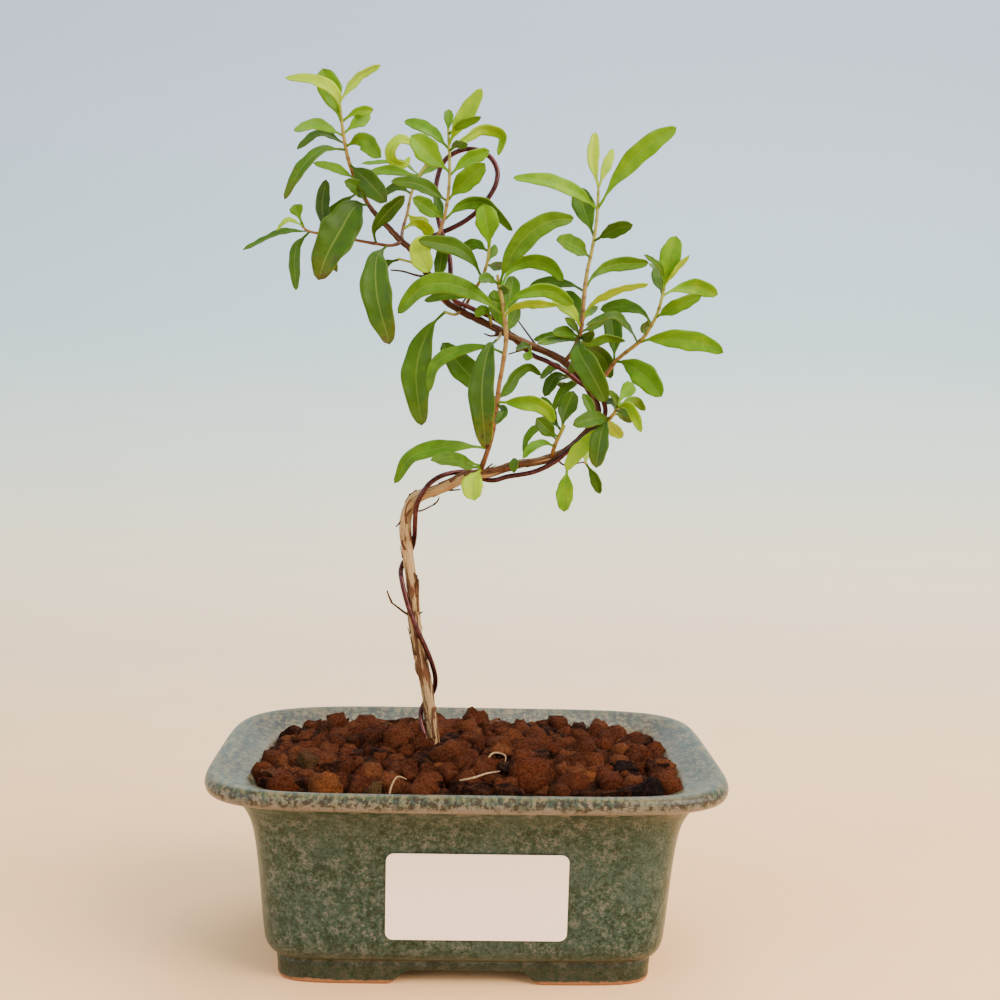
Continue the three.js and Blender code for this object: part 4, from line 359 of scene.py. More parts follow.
    "shoot_lower_middle": """
23.6 146.1 1.7 0.75, 24 148.6 3.2 0.7, 25.2 151.8 3.8 0.66, 26.2 154 4 0.62, 27 155.9 4 0.7;
d 5.9 10 0.6, 26.4 154.6 4, 27 159.6 3, 29.6 166 2.6;
m 4.4 14 0.6, 26.2 154.2 4, 23 158 1.6, 20 164.2 0.4;
m 5 12 0.6, 25.4 152.2 3.8, 22.6 153.8 5, 18.6 157.8 5.6;
b 3.1 30 0.6, 24.3 149.4 3.3, 20.8 150.4 5.6, 17.4 148.8 7, 14.9 145.6 7.6;
m 3.1 48 0.5, 25 151.2 3.7, 20 155 2, 16.4 152 1.4, 15.2 146.6 2""",
    "shoot_under_branch": """
27.8 173.7 -1.2 0.5, 27.6 171.8 -3.4 0.45, 28 170 -4.4 0.42;
d 4.1 15 0.55, 28 170.4 -4.2, 24.4 170.4 -3.4, 20.8 164.2 -2.6;
m 3.1 35 0.6, 27.8 171 -3.8, 24 173 -7, 19.4 169.6 -10;
m 2.6 40 0.6, 27.9 170.2 -4.3, 24.6 168.8 -8, 28.8 167.2 -11;
m 3.5 30 0.6, 28 170.2 -4.3, 30 168.6 -7.4, 27 166.4 -9, 23.4 160 -9.6""",
    "leaf_clasping_branch": """
12.8 143.7 3.3 0.42, 13.4 144.8 5.4 0.42;
m 2.8 20 0.55, 13.3 144.6 5, 12.4 144.6 6.4, 12.2 141.2 6.8""",
    "leaves_under_bend": """
28.2 144 1.1 0.42, 28.2 142.4 1.3 0.45;
b 5.4 8 0.52, 28.2 142.9 1.25, 27.9 138 1.8, 27.5 129.8 1.6""",
    "leaf_under_bend_right": """
33 144.9 0.8 0.34, 34 144.4 0.6 0.42;
m 3.3 12 0.55, 33.8 144.5 0.6, 36.4 140.4 0.4, 38.3 135.4 0;
y 2.6 25 0.5, 33.8 144.5 0.6, 33.6 147 -1.4, 34.6 149.8 -3.4""",
}

# ---------------------------------------------------------------- materials


class Look:
    """A material being put together: each step adds a node and gives what comes out of it."""

    def __init__(self, name):
        self.material = bpy.data.materials.new(name)
        self.material.use_nodes = True
        self.tree = self.material.node_tree
        self.place = self.node("TexCoord").outputs["Object"]

    def feed(self, socket, value):
        """Joins a socket to another one, or sets it to a number, a vector or an RGB colour."""
        if isinstance(value, bpy.types.NodeSocket):
            self.tree.links.new(value, socket)
        else:
            socket.default_value = (*value, 1) if socket.type == "RGBA" else value

    def node(self, kind, inputs=(), **settings):
        """A new node with its settings and inputs."""
        node = self.tree.nodes.new("ShaderNode" + kind)
        for key, value in settings.items():
            setattr(node, key, value)
        for key, value in dict(inputs).items():
            self.feed(node.inputs[key], value)
        return node

    def calc(self, operation, *values):
        """One step of arithmetic on sockets or numbers."""
        return self.node("Math", dict(enumerate(values)), operation=operation).outputs[0]

    def plus(self, first, second):
        """The sum of two values."""
        return self.calc("ADD", first, second)

    def times(self, *values):
        """The product of any count of values."""
        return functools.reduce(functools.partial(self.calc, "MULTIPLY"), values)

    def swayed(self, value, by, amount):
        """A value moved up and down by a noise."""
        return self.plus(value, self.times(self.calc("SUBTRACT", by, 0.5), amount))

    def noise(self, scale, detail, roughness, place=None):
        """Noise at a scale given in repeats per metre."""
        inputs = {"Scale": scale, "Detail": detail, "Roughness": roughness}
        inputs["Vector"] = self.place if place is None else place
        return self.node("TexNoise", inputs).outputs["Fac"]

    def scaled(self, place, scale):
        """A place stretched along its axes."""
        return self.node("Mapping", {"Vector": place, "Scale": scale}).outputs["Vector"]

    def split(self, kind, value):
        """The three parts of a colour ("Color") or vector ("XYZ")."""
        return self.node("Separate" + kind, {0: value}).outputs

    def painted(self, name):
        """The three parts of a colour that the piece's own points carry."""
        return self.split("Color", self.node("Attribute", attribute_name=name).outputs["Color"])

    def rise(self, value, start, end):
        """0 up to the start and 1 from the end on, rising between them."""
        return self.node("MapRange", {"Value": value, "From Min": start, "From Max": end}).outputs["Result"]

    def ramp(self, factor, *stops):
        """Colour ramp over (position, red, green, blue) stops."""
        node = self.node("ValToRGB", {"Fac": factor})
        elements = node.color_ramp.elements
        while len(elements) < len(stops):
            elements.new(0.5)
        for element, (position, *colour) in zip(elements, stops):
            element.position = position
            element.color = (*colour, 1)
        return node.outputs["Color"]

    def over(self, first, second, *factors, blend="MIX"):
        """The first colour taken to the second by the product of the factors."""
        inputs = {0: self.times(*factors), 6: first, 7: second}
        return self.node("Mix", inputs, data_type="RGBA", blend_type=blend).outputs[2]

    def finish(self, colour, roughness, specular=0.5, bump=None, others=()):
        """Feeds the shader, a bump being (height, strength, distance), and gives the material."""
        inputs = {"Base Color": colour, "Roughness": roughness, "Specular IOR Level": specular, **dict(others)}
        if bump:
            relief = self.node("Bump", zip(("Height", "Strength", "Distance"), bump))
            inputs["Normal"] = relief.outputs["Normal"]
        shader = self.tree.nodes["Principled BSDF"]
        for name, value in inputs.items():
            self.feed(shader.inputs[name], value)
        return self.material


def glaze_material(settings):
    """Green glaze mottled with grey-pink, a teal-grey lip blotched with brown, bare clay under the feet, and a
    painted warm light on the surfaces that face up.
    """
    look = Look("Mottled glaze")
    _, _, height = look.split("XYZ", look.place)
    clouds, broad = look.noise(70, 3, 0.5), look.noise(330, 4, 0.6)
    mottle, speck = look.noise(850, 6, 0.7), look.noise(1900, 3, 0.7)
    level = look.swayed(height, broad, 0.006)
    body = look.ramp(
        look.plus(look.times(mottle, 0.6), look.times(broad, 0.4)),
        (0.41, 0.003, 0.017, 0.009), (0.465, 0.01, 0.036, 0.022), (0.51, *settings.glaze[:3]),
        (0.55, 0.052, 0.078, 0.061), (0.6, 0.1, 0.108, 0.09))
    body = look.over(body, (0.08, 0.077, 0.062), look.rise(look.noise(1100, 4, 0.65), 0.54, 0.62), 0.48)
    body = look.over(body, (0.029, 0.062, 0.05), look.rise(clouds, 0.48, 0.66), 0.5)
    body = look.over(body, (0.003, 0.011, 0.006), look.rise(speck, 0.55, 0.6), 0.85)
    lip = look.ramp(
        look.noise(560, 5, 0.62, look.scaled(look.place, (1, 0.3, 0.3))),
        (0.4, 0.026, 0.047, 0.035), (0.46, 0.048, 0.07, 0.048), (0.52, *settings.lip_glaze[:3]),
        (0.6, 0.145, 0.127, 0.088))
    lip = look.over(lip, (0.122, 0.108, 0.076), look.rise(clouds, 0.46, 0.66), 0.45)
    rim = look.over((0.15, 0.137, 0.115), lip, look.rise(level, 0.0552, 0.057))
    colour = look.over(body, rim, look.rise(level, 0.0522, 0.0532))
    # Brown blotches along the lip's edge, flecks over the lip, a darker band low down and a pale groove, each
    # as its colour, its strength and what limits it, as (value, start, end).
    for target, strength, *limits in (
            ((0.021, 0.015, 0.009), 0.9, (level, 0.0553, 0.0563), (level, 0.059, 0.0582),
             (look.noise(620, 6, 0.7), 0.48, 0.52)),
            ((0.026, 0.036, 0.026), 0.65, (speck, 0.54, 0.6), (height, 0.052, 0.0535)),
            ((0.034, 0.028, 0.015), 0.5, (level, 0.0135, 0.0075), (mottle, 0.4, 0.55)),
            ((0.11, 0.088, 0.056), 0.3, (level, 0.0062, 0.0068), (level, 0.0078, 0.0071))):
        colour = look.over(colour, target, *(look.rise(*limit) for limit in limits), strength)
    colour = look.over(colour, (0.68, 0.68, 0.58), look.rise(level, 0.0066, 0.006), blend="MULTIPLY")
    clay = look.rise(look.swayed(height, broad, 0.0018), 0.0014, 0.0008)
    colour = look.over(colour, (0.27, 0.12, 0.052), clay)
    # Painted light: surfaces that face up are given a warm tint, standing in for warm light falling on them
    # from above.
    _, _, upward = look.split("XYZ", look.node("NewGeometry").outputs["Normal"])
    colour = look.over(colour, (1.0, 0.86, 0.5), look.rise(upward, 0.3, 0.9), blend="MULTIPLY")
    rough = look.plus(look.calc("MULTIPLY_ADD", mottle, 0.3, 0.18), look.times(clay, 0.5))
    relief = look.plus(look.times(mottle, 0.6), look.times(speck, 0.4))
    coat = {"Coat Weight": 0.08, "Coat Roughness": 0.12}
    return look.finish(colour, rough, 0.22, (relief, 0.4, 0.0004), coat)


def clay_material(settings):
    """Baked clay: powdery, each granule its own red-brown, with painted shade in the pits of the grit, painted
    highlight with pale dust on the raised grit, and painted shade on the bare bed between granules.
    """
    look = Look("Baked clay")
    warmth, greenness, blackness = look.painted("granule")
    patches, grit = look.noise(420, 5, 0.65), look.noise(1500, 5, 0.75)
    # The ramp's first stop, near black, is what the bare bed under the granules gets, as it carries no granule
    # colour: painted shade in the gaps between granules.
    colour = look.ramp(
        warmth, (0.0, 0.012, 0.003, 0.0012), (0.2, 0.03, 0.0085, 0.0035), (0.5, *settings.clay[:3]),
        (0.85, 0.165, 0.053, 0.021), (1.0, 0.22, 0.068, 0.018))
    colour = look.over(colour, (0.15, 0.055, 0.025), look.rise(patches, 0.42, 0.68), 0.55)
    colour = look.over(colour, (0.06, 0.052, 0.02), greenness)
    colour = look.over(colour, (0.006, 0.005, 0.006), blackness)
    # Painted shade: the low places of the fine grit, which the bump sinks into pits, are darkened nearly to
    # black.
    shaded_pits = look.over(colour, (0.004, 0.0013, 0.0008), 0.58)
    colour = look.over(shaded_pits, colour, look.rise(grit, 0.4, 0.54))
    # Pale dust and painted highlight: the raised places of the fine grit are lightened to a pale tan.
    colour = look.over(colour, (0.23, 0.092, 0.045), look.rise(grit, 0.56, 0.7), 0.45)
    return look.finish(colour, 0.95, 0.05, (look.plus(patches, look.times(grit, 0.8)), 1.0, 0.0026))


def bark_material(settings):
    """Pale bare wood below, brown bark peeling off it in strips, closing over towards the twigs."""
    look = Look("Peeling bark")
    barked, knobby, outer = look.painted("growth")
    around = look.node("UVMap", uv_map="bark").outputs["UV"]
    strips = look.noise(1.0, 4, 0.6, look.scaled(around, (8.0, 15.0, 1)))
    fibre = look.noise(1.0, 4, 0.65, look.scaled(around, (34.0, 60.0, 1)))
    wood = look.ramp(fibre, (0.3, 0.12, 0.06, 0.023), (0.44, *settings.wood[:3]), (0.7, 0.5, 0.36, 0.18))
    bark = look.ramp(fibre, (0.3, 0.016, 0.007, 0.004), (0.5, 0.06, 0.025, 0.011), (0.72, 0.24, 0.13, 0.055))
    cover = look.rise(look.plus(strips, look.calc("MULTIPLY_ADD", barked, 0.4, -0.2)), 0.56, 0.6)
    colour = look.over(wood, bark, cover)
    colour = look.over(colour, (0.16, 0.062, 0.028), knobby)
    colour = look.over(colour, (0.07, 0.03, 0.014), look.rise(look.noise(1800, 4, 0.7), 0.56, 0.7), 0.5)
    colour = look.over(colour, (0.55, 0.48, 0.52), outer, blend="MULTIPLY")
    relief = look.plus(look.times(cover, 0.8), look.times(fibre, 0.6))
    return look.finish(colour, 0.62, 0.15, (relief, 0.7, 0.0004))


def wire_material(settings):
    """Anodised aluminium, dark red-brown, with faint drawing marks along it."""
    look = Look("Anodised wire")
    marks = look.noise(900, 3, 0.6)
    colour = look.ramp(marks, (0.3, 0.034, 0.008, 0.009), (0.6, *settings.wire[:3]), (0.8, 0.15, 0.054, 0.05))
    rough = look.calc("MULTIPLY_ADD", marks, 0.22, 0.18)
    return look.finish(colour, rough, bump=(marks, 0.15, 0.0002), others={"Metallic": 0.75})


def leaf_material(settings):
    """Leaf blade with midrib and side veins, from dark to young yellow-green, browning at old tips."""
    look = Look("Pomegranate leaf")
    over_blade, up_blade, _ = look.split("XYZ", look.node("UVMap", uv_map="blade").outputs["UV"])
    youth, spread, age = look.painted("tone")
    across = look.calc("ABSOLUTE", look.calc("SUBTRACT", over_blade, 0.5))
    patchy = look.noise(260, 4, 0.6)
    green = look.ramp(
        look.swayed(youth, patchy, 0.35),
        (0.0, 0.011, 0.03, 0.002), (0.25, 0.019, 0.052, 0.0025), (0.5, *settings.leaf[:3]),
        (0.75, 0.095, 0.235, 0.003), (1.0, 0.27, 0.42, 0.002))
    order = look.times(look.calc("SUBTRACT", up_blade, look.times(across, 1.1)), spread)
    vein_wave = look.calc("ABSOLUTE", look.calc("SINE", look.times(order, 62.0)))
    side_veins = look.times(look.rise(vein_wave, 0.16, 0.0), look.rise(across, 0.5, 0.3))
    veins = look.calc("MAXIMUM", look.rise(across, 0.04, 0.014), look.times(side_veins, 0.4))
    colour = look.over(green, look.over(green, (0.17, 0.25, 0.04), 0.5), veins, 0.75)
    colour = look.over(colour, (0.16, 0.19, 0.012), look.rise(across, 0.465, 0.49), 0.25)
    tip = look.swayed(up_blade, patchy, 0.7)
    colour = look.over(colour, (0.16, 0.12, 0.01), look.rise(tip, 0.72, 1.05), age, 0.5)
    spots = look.times(look.rise(look.noise(430, 5, 0.7), 0.58, 0.64), look.rise(tip, 0.6, 0.85), age)
    browned = look.calc("MAXIMUM", spots, look.times(look.rise(tip, 0.93, 0.99), age))
    colour = look.over(colour, (0.045, 0.014, 0.004), browned)
    rough = look.calc("MULTIPLY_ADD", patchy, 0.3, 0.3)
    relief = look.plus(look.times(veins, -0.7), look.times(look.noise(1700, 3, 0.6), 0.25))
    return look.finish(colour, rough, 0.14, (relief, 0.45, 0.0003), {
        "Subsurface Weight": 0.15, "Subsurface Radius": (0.5, 1.0, 0.12), "Subsurface Scale": 0.0012})


def stem_material():
    """Young stem: brown where it leaves the branch, tan-pink further up, green at the tip."""
    look = Look("Young stem")
    ripeness, knuckle, _ = look.painted("growth")
    grains = look.noise(900, 4, 0.65)
    colour = look.ramp(
        look.swayed(ripeness, grains, 0.5), (0.0, 0.05, 0.018, 0.008), (0.14, 0.13, 0.046, 0.015),
        (0.34, 0.2, 0.107, 0.028), (0.58, 0.25, 0.195, 0.033), (1.0, 0.22, 0.28, 0.024))
    colour = look.over(colour, (0.05, 0.018, 0.008), knuckle, 0.65)
    return look.finish(colour, 0.5, 0.25, (grains, 0.4, 0.0003))


def plain_material(name, dark, light, scale, roughness, relief, specular=0.1):
    """Two close colours in a fine grain, for paper, dry leaf, root and screen."""
    look = Look(name)
    grains = look.noise(scale, 5, 0.65)
    colour = look.ramp(grains, (0.3, *dark), (0.7, *light))
    return look.finish(colour, roughness, specular, (grains, 0.5, relief))


def sweep_material():
    """Matt card of the floor and backdrop: warm cream below, cool grey above."""
    look = Look("Studio card")
    _, back, height = look.split("XYZ", look.place)
    behind = look.calc("MAXIMUM", look.calc("SUBTRACT", back, 0.05), 0.0)
    level = look.calc("MULTIPLY_ADD", behind, 0.12, height)
    level = look.calc("MULTIPLY_ADD", look.noise(30, 3, 0.5), 0.02, level)
    colour = look.ramp(
        look.rise(level, 0.01, 0.61), (0.0, 0.94, 0.57, 0.27), (0.08, 0.88, 0.67, 0.42),
        (0.19, 0.79, 0.71, 0.51), (0.33, 0.57, 0.69, 0.62), (0.52, 0.4, 0.58, 0.68), (1.0, 0.36, 0.48, 0.68))
    return look.finish(colour, 0.9)


# ---------------------------------------------------------------- shaping


def at(row):
    """[x, z, forward] on the tree's elevation as a point in mm."""
    point = Vector((row[0], TREE_PLANE_Y, row[1]))
    to_view = VIEW_POINT - point
    return point + to_view * (row[2] / to_view.length)


def curve_through(points):
    """Closely spaced points of a smooth curve through the given ones, with the lengths up to each."""
    ends = [points[0] * 2 - points[1], *points, points[-1] * 2 - points[-2]]
    line = []
    for before, first, second, after in zip(ends, ends[1:], ends[2:], ends[3:]):
        steps = (first - before, second - first, after - second)
        near, gap, far = (max(1e-4, step.length ** 0.5) for step in steps)
        leave = (first - before) / near - (second - before) / (near + gap) + (second - first) / gap
        enter = (second - first) / gap - (after - first) / (gap + far) + (after - second) / far
        leave, enter = leave * gap, enter * gap
        for step in range(CURVE_STEPS):
            t = step / CURVE_STEPS
            line.append(first + leave * t + (second * 3 - first * 3 - leave * 2 - enter) * t * t
                        + (first * 2 - second * 2 + leave + enter) * t ** 3)
    line.append(points[-1].copy())
    return line, lengths_along(line)


def lengths_along(line):
    """The length of a line of points up to each of them."""
    lengths = [0.0]
    for a, b in zip(line, line[1:]):
        lengths.append(lengths[-1] + (b - a).length)
    return lengths


def spaced(points, count):
    """Evenly spaced [share, point, tangent] rows along a smooth curve through the points."""
    line, lengths = curve_through(points)
    rows = []
    place = 0
    for index in range(count):
        share = index / (count - 1)
        want = share * lengths[-1]
        while place < len(lengths) - 2 and lengths[place + 1] < want:
            place += 1
        span = lengths[place + 1] - lengths[place]
        rows.append([share, line[place].lerp(line[place + 1], (want - lengths[place]) / span if span else 0)])
    evenly = [point for _, point in rows]
    for index, row in enumerate(rows):
        row.append((evenly[min(index + 1, count - 1)] - evenly[max(index - 1, 0)]).normalized())
    return rows


def steps_between(stops, share):
    """The values of the (place, values...) stops at a share, straight between them."""
    for (low, *low_values), (high, *high_values) in zip(stops, stops[1:]):
        if share <= high:
            part = (share - low) / (high - low) if high > low else 0
            return [a + (b - a) * part for a, b in zip(low_values, high_values)]
    return list(stops[-1][1:])


def route(rows, spacing):
    """Even stations along (x, z, forward, radius) rows and their radius as a function of share."""
    points = [at(row) for row in rows]
    lengths = curve_through(points)[1]
    stops = [(lengths[CURVE_STEPS * index] / lengths[-1], row[3]) for index, row in enumerate(rows)]
    stations = spaced(points, max(4, round(lengths[-1] / spacing)))
    return stations, lambda share: steps_between(stops, share)[0]


def bushed(rows, start):
    """A shoot's points spread to the front and back of where it leaves the branch."""
    return [[row[0], row[1], start + SHOOT_DEPTH * (row[2] - start), *row[3:]] for row in rows]


def seeded(*words):
    """A repeatable source of chance for one piece."""
    return random.Random("-".join(str(word) for word in words))


def meshed(name, bm):
    """A bmesh's mesh, the bmesh being freed."""
    mesh = bpy.data.meshes.new(name)
    bm.to_mesh(mesh)
    bm.free()
    return mesh


def linked(name, data):
    """A new object of that data in the scene."""
    thing = bpy.data.objects.new(name, data)
    bpy.context.scene.collection.objects.link(thing)
    return thing


def add_piece(name, bm, material, replaced=(), smooth_below=60, keep_normals=False):
    """Finishes a bmesh as a piece of the object that rides on its one body."""
    if not keep_normals:
        bmesh.ops.recalc_face_normals(bm, faces=bm.faces)
    mesh = meshed(name, bm)
    mesh.shade_smooth()
    mesh.set_sharp_from_angle(angle=math.radians(smooth_below))
    mesh.materials.append(material)
    piece = linked(name, mesh)
    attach(piece, "root")
    if replaced:
        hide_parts(*replaced)
    return piece


def dress(node, material):
    """Gives a CAD node a better material."""
    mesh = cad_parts[node].data
    mesh.materials.clear()
    mesh.materials.append(material)


def new_verts(geometry):
    """The vertices among what an operator made."""
    return [item for item in geometry if isinstance(item, bmesh.types.BMVert)]


def extruded_rings(bm, rings):
    """Skin over rings of mm points, made by extruding the first ring's edges from ring to ring."""
    loop = bmesh.ops.create_circle(bm, segments=len(rings[0]), radius=1)["verts"]
    edges = list({edge for vert in loop for edge in vert.link_edges})
    loops = []
    for ring in rings:
        if loops:
            made = bmesh.ops.extrude_edge_only(bm, edges=edges)["geom"]
            fresh = set(new_verts(made))
            loop = [next(edge.other_vert(vert) for edge in vert.link_edges if edge.other_vert(vert) in fresh)
                    for vert in loop]
            edges = [item for item in made if isinstance(item, bmesh.types.BMEdge)]
            edges = [edge for edge in edges if fresh.issuperset(edge.verts)]
        for vert, point in zip(loop, ring):
            vert.co = point * MM
        loops.append(loop)
    bmesh.ops.contextual_create(bm, geom=loops[0])
    bmesh.ops.contextual_create(bm, geom=loops[-1])
    return loops


def add_tube(bm, rows, radius_at, sides, relief=None, growth=None, uv_name=None):
    """A closed tube, with its growth written as a colour and its girth and length as a UV map."""
    layer = uv = None
    if growth:
        layer = bm.verts.layers.float_color.get("growth") or bm.verts.layers.float_color.new("growth")
    if uv_name:
        uv = bm.loops.layers.uv.get(uv_name) or bm.loops.layers.uv.new(uv_name)
    across = Vector((0, 1, 0))
    rings = []
    for share, point, along in rows:
        across = (across - along * across.dot(along)).normalized()
        up = along.cross(across)
        ring = []
        for side in range(sides):
            angle = 2 * math.pi * side / sides
            reach = radius_at(share) + (relief(share, angle) if relief else 0)
            ring.append(point + across * (reach * math.cos(angle)) + up * (reach * math.sin(angle)))
        rings.append(ring)
    loops = extruded_rings(bm, rings)
    index_of = {vert: (row, side) for row, loop in enumerate(loops) for side, vert in enumerate(loop)}
    if growth:
        for vert, (row, _) in index_of.items():
            vert[layer] = (*growth(rows[row][0]), 1)
    if uv_name:
        for face in {face for vert in index_of for face in vert.link_faces}:
            places = [index_of[loop.vert] for loop in face.loops]
            columns = [side for _, side in places]
            wraps = max(columns) - min(columns) > sides / 2
            for loop, (row, side) in zip(face.loops, places):
                girth = (side + (sides if wraps and side < sides / 2 else 0)) / sides
                loop[uv].uv = (girth, rows[row][0])


def thicken(piece, thickness):
    """Gives a sheet its thickness, half to each side."""
    solid = piece.modifiers.new("Thickness", "SOLIDIFY")
    solid.thickness = thickness
    solid.offset = 0


def colour_of(name, description, colour):
    """A colour that a user can change."""
    return bpy.props.FloatVectorProperty(
        name=name, description=description, subtype="COLOR", size=4, min=0, max=1, default=(*colour, 1))


def number_of(name, description, default, low, high, unit="LENGTH"):
    """A measure that a user can change."""
    return bpy.props.FloatProperty(
        name=name, description=description, default=default, min=low, max=high, unit=unit)


def count_of(name, description, default, low, high):
    """A count that a user can change."""
    return bpy.props.IntProperty(name=name, description=description, default=default, min=low, max=high)


# ---------------------------------------------------------------- pot and label


def pot_ring(inset, z, count, squareness):
    """Evenly spaced points round the pot at an inset from its lip, in mm."""
    fine = []
    for step in range(PLAN_STEPS):
        angle = 2 * math.pi * step / PLAN_STEPS
        cos, sin = math.cos(angle), math.sin(angle)
        power = 2 / (squareness[1] if cos < 0 < sin else squareness[0])
        fine.append(Vector((
            (HALF_LENGTH - inset) * math.copysign(abs(cos) ** power, cos),
            (HALF_DEPTH - inset) * math.copysign(abs(sin) ** power, sin),
            z)))
    fine.append(fine[0])
    lengths = lengths_along(fine)
    ring = []
    place = 0
    for index in range(count):
        want = lengths[-1] * index / count
        while lengths[place + 1] < want:
            place += 1
        part = (want - lengths[place]) / (lengths[place + 1] - lengths[place])
        ring.append(fine[place].lerp(fine[place + 1], part))
    return ring


def ogee(distance, bottom, top):
    """How far up the foot's opening reaches, from 1 in its middle to 0 beyond its sides."""
    share = min(1.0, max(0.0, (bottom - abs(distance)) / (bottom - top)))
    return share * share * (3 - 2 * share)


def lifted(point, within):
    """A point of the foot's inner or outer side, raised where an opening is cut under it."""
    front = ogee(point.x, *FOOT["front"]) if abs(point.y) > FOOT["front_from"] else 0
    side = ogee(point.y, *FOOT["side"]) if abs(point.x) > FOOT["side_from"] else 0
    shoulder = FOOT["roof"] if within else FOOT["shoulder"]
    rise = FOOT["roof"] * max(front, side) * max(0.0, 1 - point.z / shoulder)
    return Vector((point.x, point.y, point.z + rise))


def rounded(profile, count):
    """The profile's rows on a smooth curve, in count even steps."""
    rows = spaced([Vector((inset, 0, z)) for inset, z in profile], count)
    return [(point.x, point.z) for _, point, _ in rows]


class PotSettings(bpy.types.PropertyGroup):
    """What a user would change on the pot."""
    segments: count_of("Segments", "Points round the pot", 300, 60, 600)
    glaze: colour_of("Glaze", "Colour of the wall", (0.025, 0.056, 0.042))
    lip_glaze: colour_of("Lip glaze", "Colour of the lip", (0.108, 0.115, 0.07))
    label_width: number_of("Label width", "Width of the blank label", 0.05, 0.02, 0.08)
    label_height: number_of("Label height", "Height of the blank label", 0.025, 0.01, 0.035)


class BONSAI_OT_pot(bpy.types.Operator):
    """Glazed pot with its lip, groove and cut feet"""
    bl_idname = "bonsai.pot"
    bl_label = "Pot"

    def execute(self, context):
        settings = context.scene.bonsai_pot
        count = settings.segments
        inner_foot = POT_OUTSIDE[0][0] + FOOT["width"] - 1
        rings = []
        for inset, z in POT_UNDER:
            ring = pot_ring(inner_foot + inset, z, count, SQUARENESS[0][1:])
            rings.append([lifted(point, True) for point in ring])
        for inset, z in rounded(POT_OUTSIDE, OUTSIDE_RINGS):
            ring = pot_ring(inset, z, count, steps_between(SQUARENESS, z))
            rings.append([lifted(point, False) for point in ring])
        for inset, z in rounded(POT_INSIDE, INSIDE_RINGS):
            rings.append(pot_ring(inset, z, count, SQUARENESS[-1][1:]))
        bm = bmesh.new()
        extruded_rings(bm, rings)
        drill_drains(add_piece("glazed_pot", bm, glaze_material(settings), ["pot"], smooth_below=75))
        screen = plain_material("Screen plastic", (0.012, 0.013, 0.012), (0.03, 0.032, 0.03), 900, 0.55, 0.0001)
        dress("drain_screen_left", screen)
        dress("drain_screen_right", screen)
        return {"FINISHED"}


def drill_drains(pot):
    """Cuts the two drainage holes and applies the cut."""
    bm = bmesh.new()
    radius = DRAIN["radius"] * MM
    for side in (-1, 1):
        bmesh.ops.create_cone(
            bm, cap_ends=True, segments=DRAIN["segments"], radius1=radius, radius2=radius,
            depth=DRAIN["depth"] * MM,
            matrix=Matrix.Translation((side * DRAIN["offset"] * MM, 0, DRAIN["middle"] * MM)))
    drill = linked("drill", meshed("drill", bm))
    cut = pot.modifiers.new("Drainage holes", "BOOLEAN")
    cut.operation = "DIFFERENCE"
    cut.solver = "EXACT"
    cut.object = drill
    drilled = bpy.data.meshes.new_from_object(pot.evaluated_get(bpy.context.evaluated_depsgraph_get()))
    pot.modifiers.clear()
    pot.data = drilled
    bpy.data.objects.remove(drill)


def front_wall(x, z):
    """The pot's front wall as y at a place, in mm."""
    for (low_inset, low_z), (high_inset, high_z) in zip(POT_OUTSIDE, POT_OUTSIDE[1:]):
        if low_z <= z <= high_z:
            inset = low_inset + (high_inset - low_inset) * (z - low_z) / (high_z - low_z)
            power = steps_between(SQUARENESS, z)[0]
            return -(HALF_DEPTH - inset) * (1 - abs(x / (HALF_LENGTH - inset)) ** power) ** (1 / power)
    raise ValueError(f"no wall at height {z}")


class BONSAI_OT_label(bpy.types.Operator):
    """Blank paper label on the front wall"""
    bl_idname = "bonsai.label"
    bl_label = "Label"

    def execute(self, context):
        settings = context.scene.bonsai_pot
        half_width, half_height = settings.label_width / MM / 2, settings.label_height / MM / 2
        corner, steps = LABEL["corner"], LABEL["corner_steps"]
        bm = bmesh.new()
        outline = []
        for turn, (sx, sz) in enumerate(((1, 1), (-1, 1), (-1, -1), (1, -1))):
            for step in range(steps + 1):
                angle = math.pi / 2 * (turn + step / steps)
                x = sx * (half_width - corner) + corner * math.cos(angle)
                outline.append(bm.verts.new((x, 0, sz * (half_height - corner) + corner * math.sin(angle))))
        bm.faces.new(outline)
        for axis, half in ((0, half_width), (2, half_height)):
            for step in range(1, LABEL["strips"]):
                place, normal = Vector((0, 0, 0)), Vector((0, 0, 0))
                place[axis] = -half + 2 * half * step / LABEL["strips"]
                normal[axis] = 1
                bmesh.ops.bisect_plane(
                    bm, geom=bm.verts[:] + bm.edges[:] + bm.faces[:], plane_co=place, plane_no=normal)
        outer = set(new_verts(bmesh.ops.extrude_face_region(bm, geom=bm.faces[:])["geom"]))
        for vert in bm.verts:
            x, z = LABEL["x"] + vert.co.x, LABEL["z"] + vert.co.z
            off_wall = LABEL["gap"] + (LABEL["thickness"] if vert in outer else 0)
            vert.co = Vector((x, front_wall(x, z) - off_wall, z)) * MM
        paper = plain_material("Label paper", (0.93, 0.8, 0.68), (0.96, 0.83, 0.71), 700, 0.42, 0.00003, 0.4)
        add_piece("blank_label", bm, paper, ["label"], smooth_below=40)
        return {"FINISHED"}


# ---------------------------------------------------------------- soil and litter


class SoilSettings(bpy.types.PropertyGroup):
    """What a user would change on the soil."""
    clay: colour_of("Clay", "Colour of most granules", (0.104, 0.024, 0.0078))
    crumbs: count_of("Crumbs", "Small granules in each hollow", 1, 0, 6)


def on_soil(place, lift):
    """A place in plan at a height above the level of the soil, in mm."""
    out = min(1.0, (place[0] / SOIL["half_width"]) ** 2 + (place[1] / SOIL["half_depth"]) ** 2)
    return Vector((place[0], place[1], SOIL["crown"] + (SOIL["rim"] - SOIL["crown"]) * out + lift))


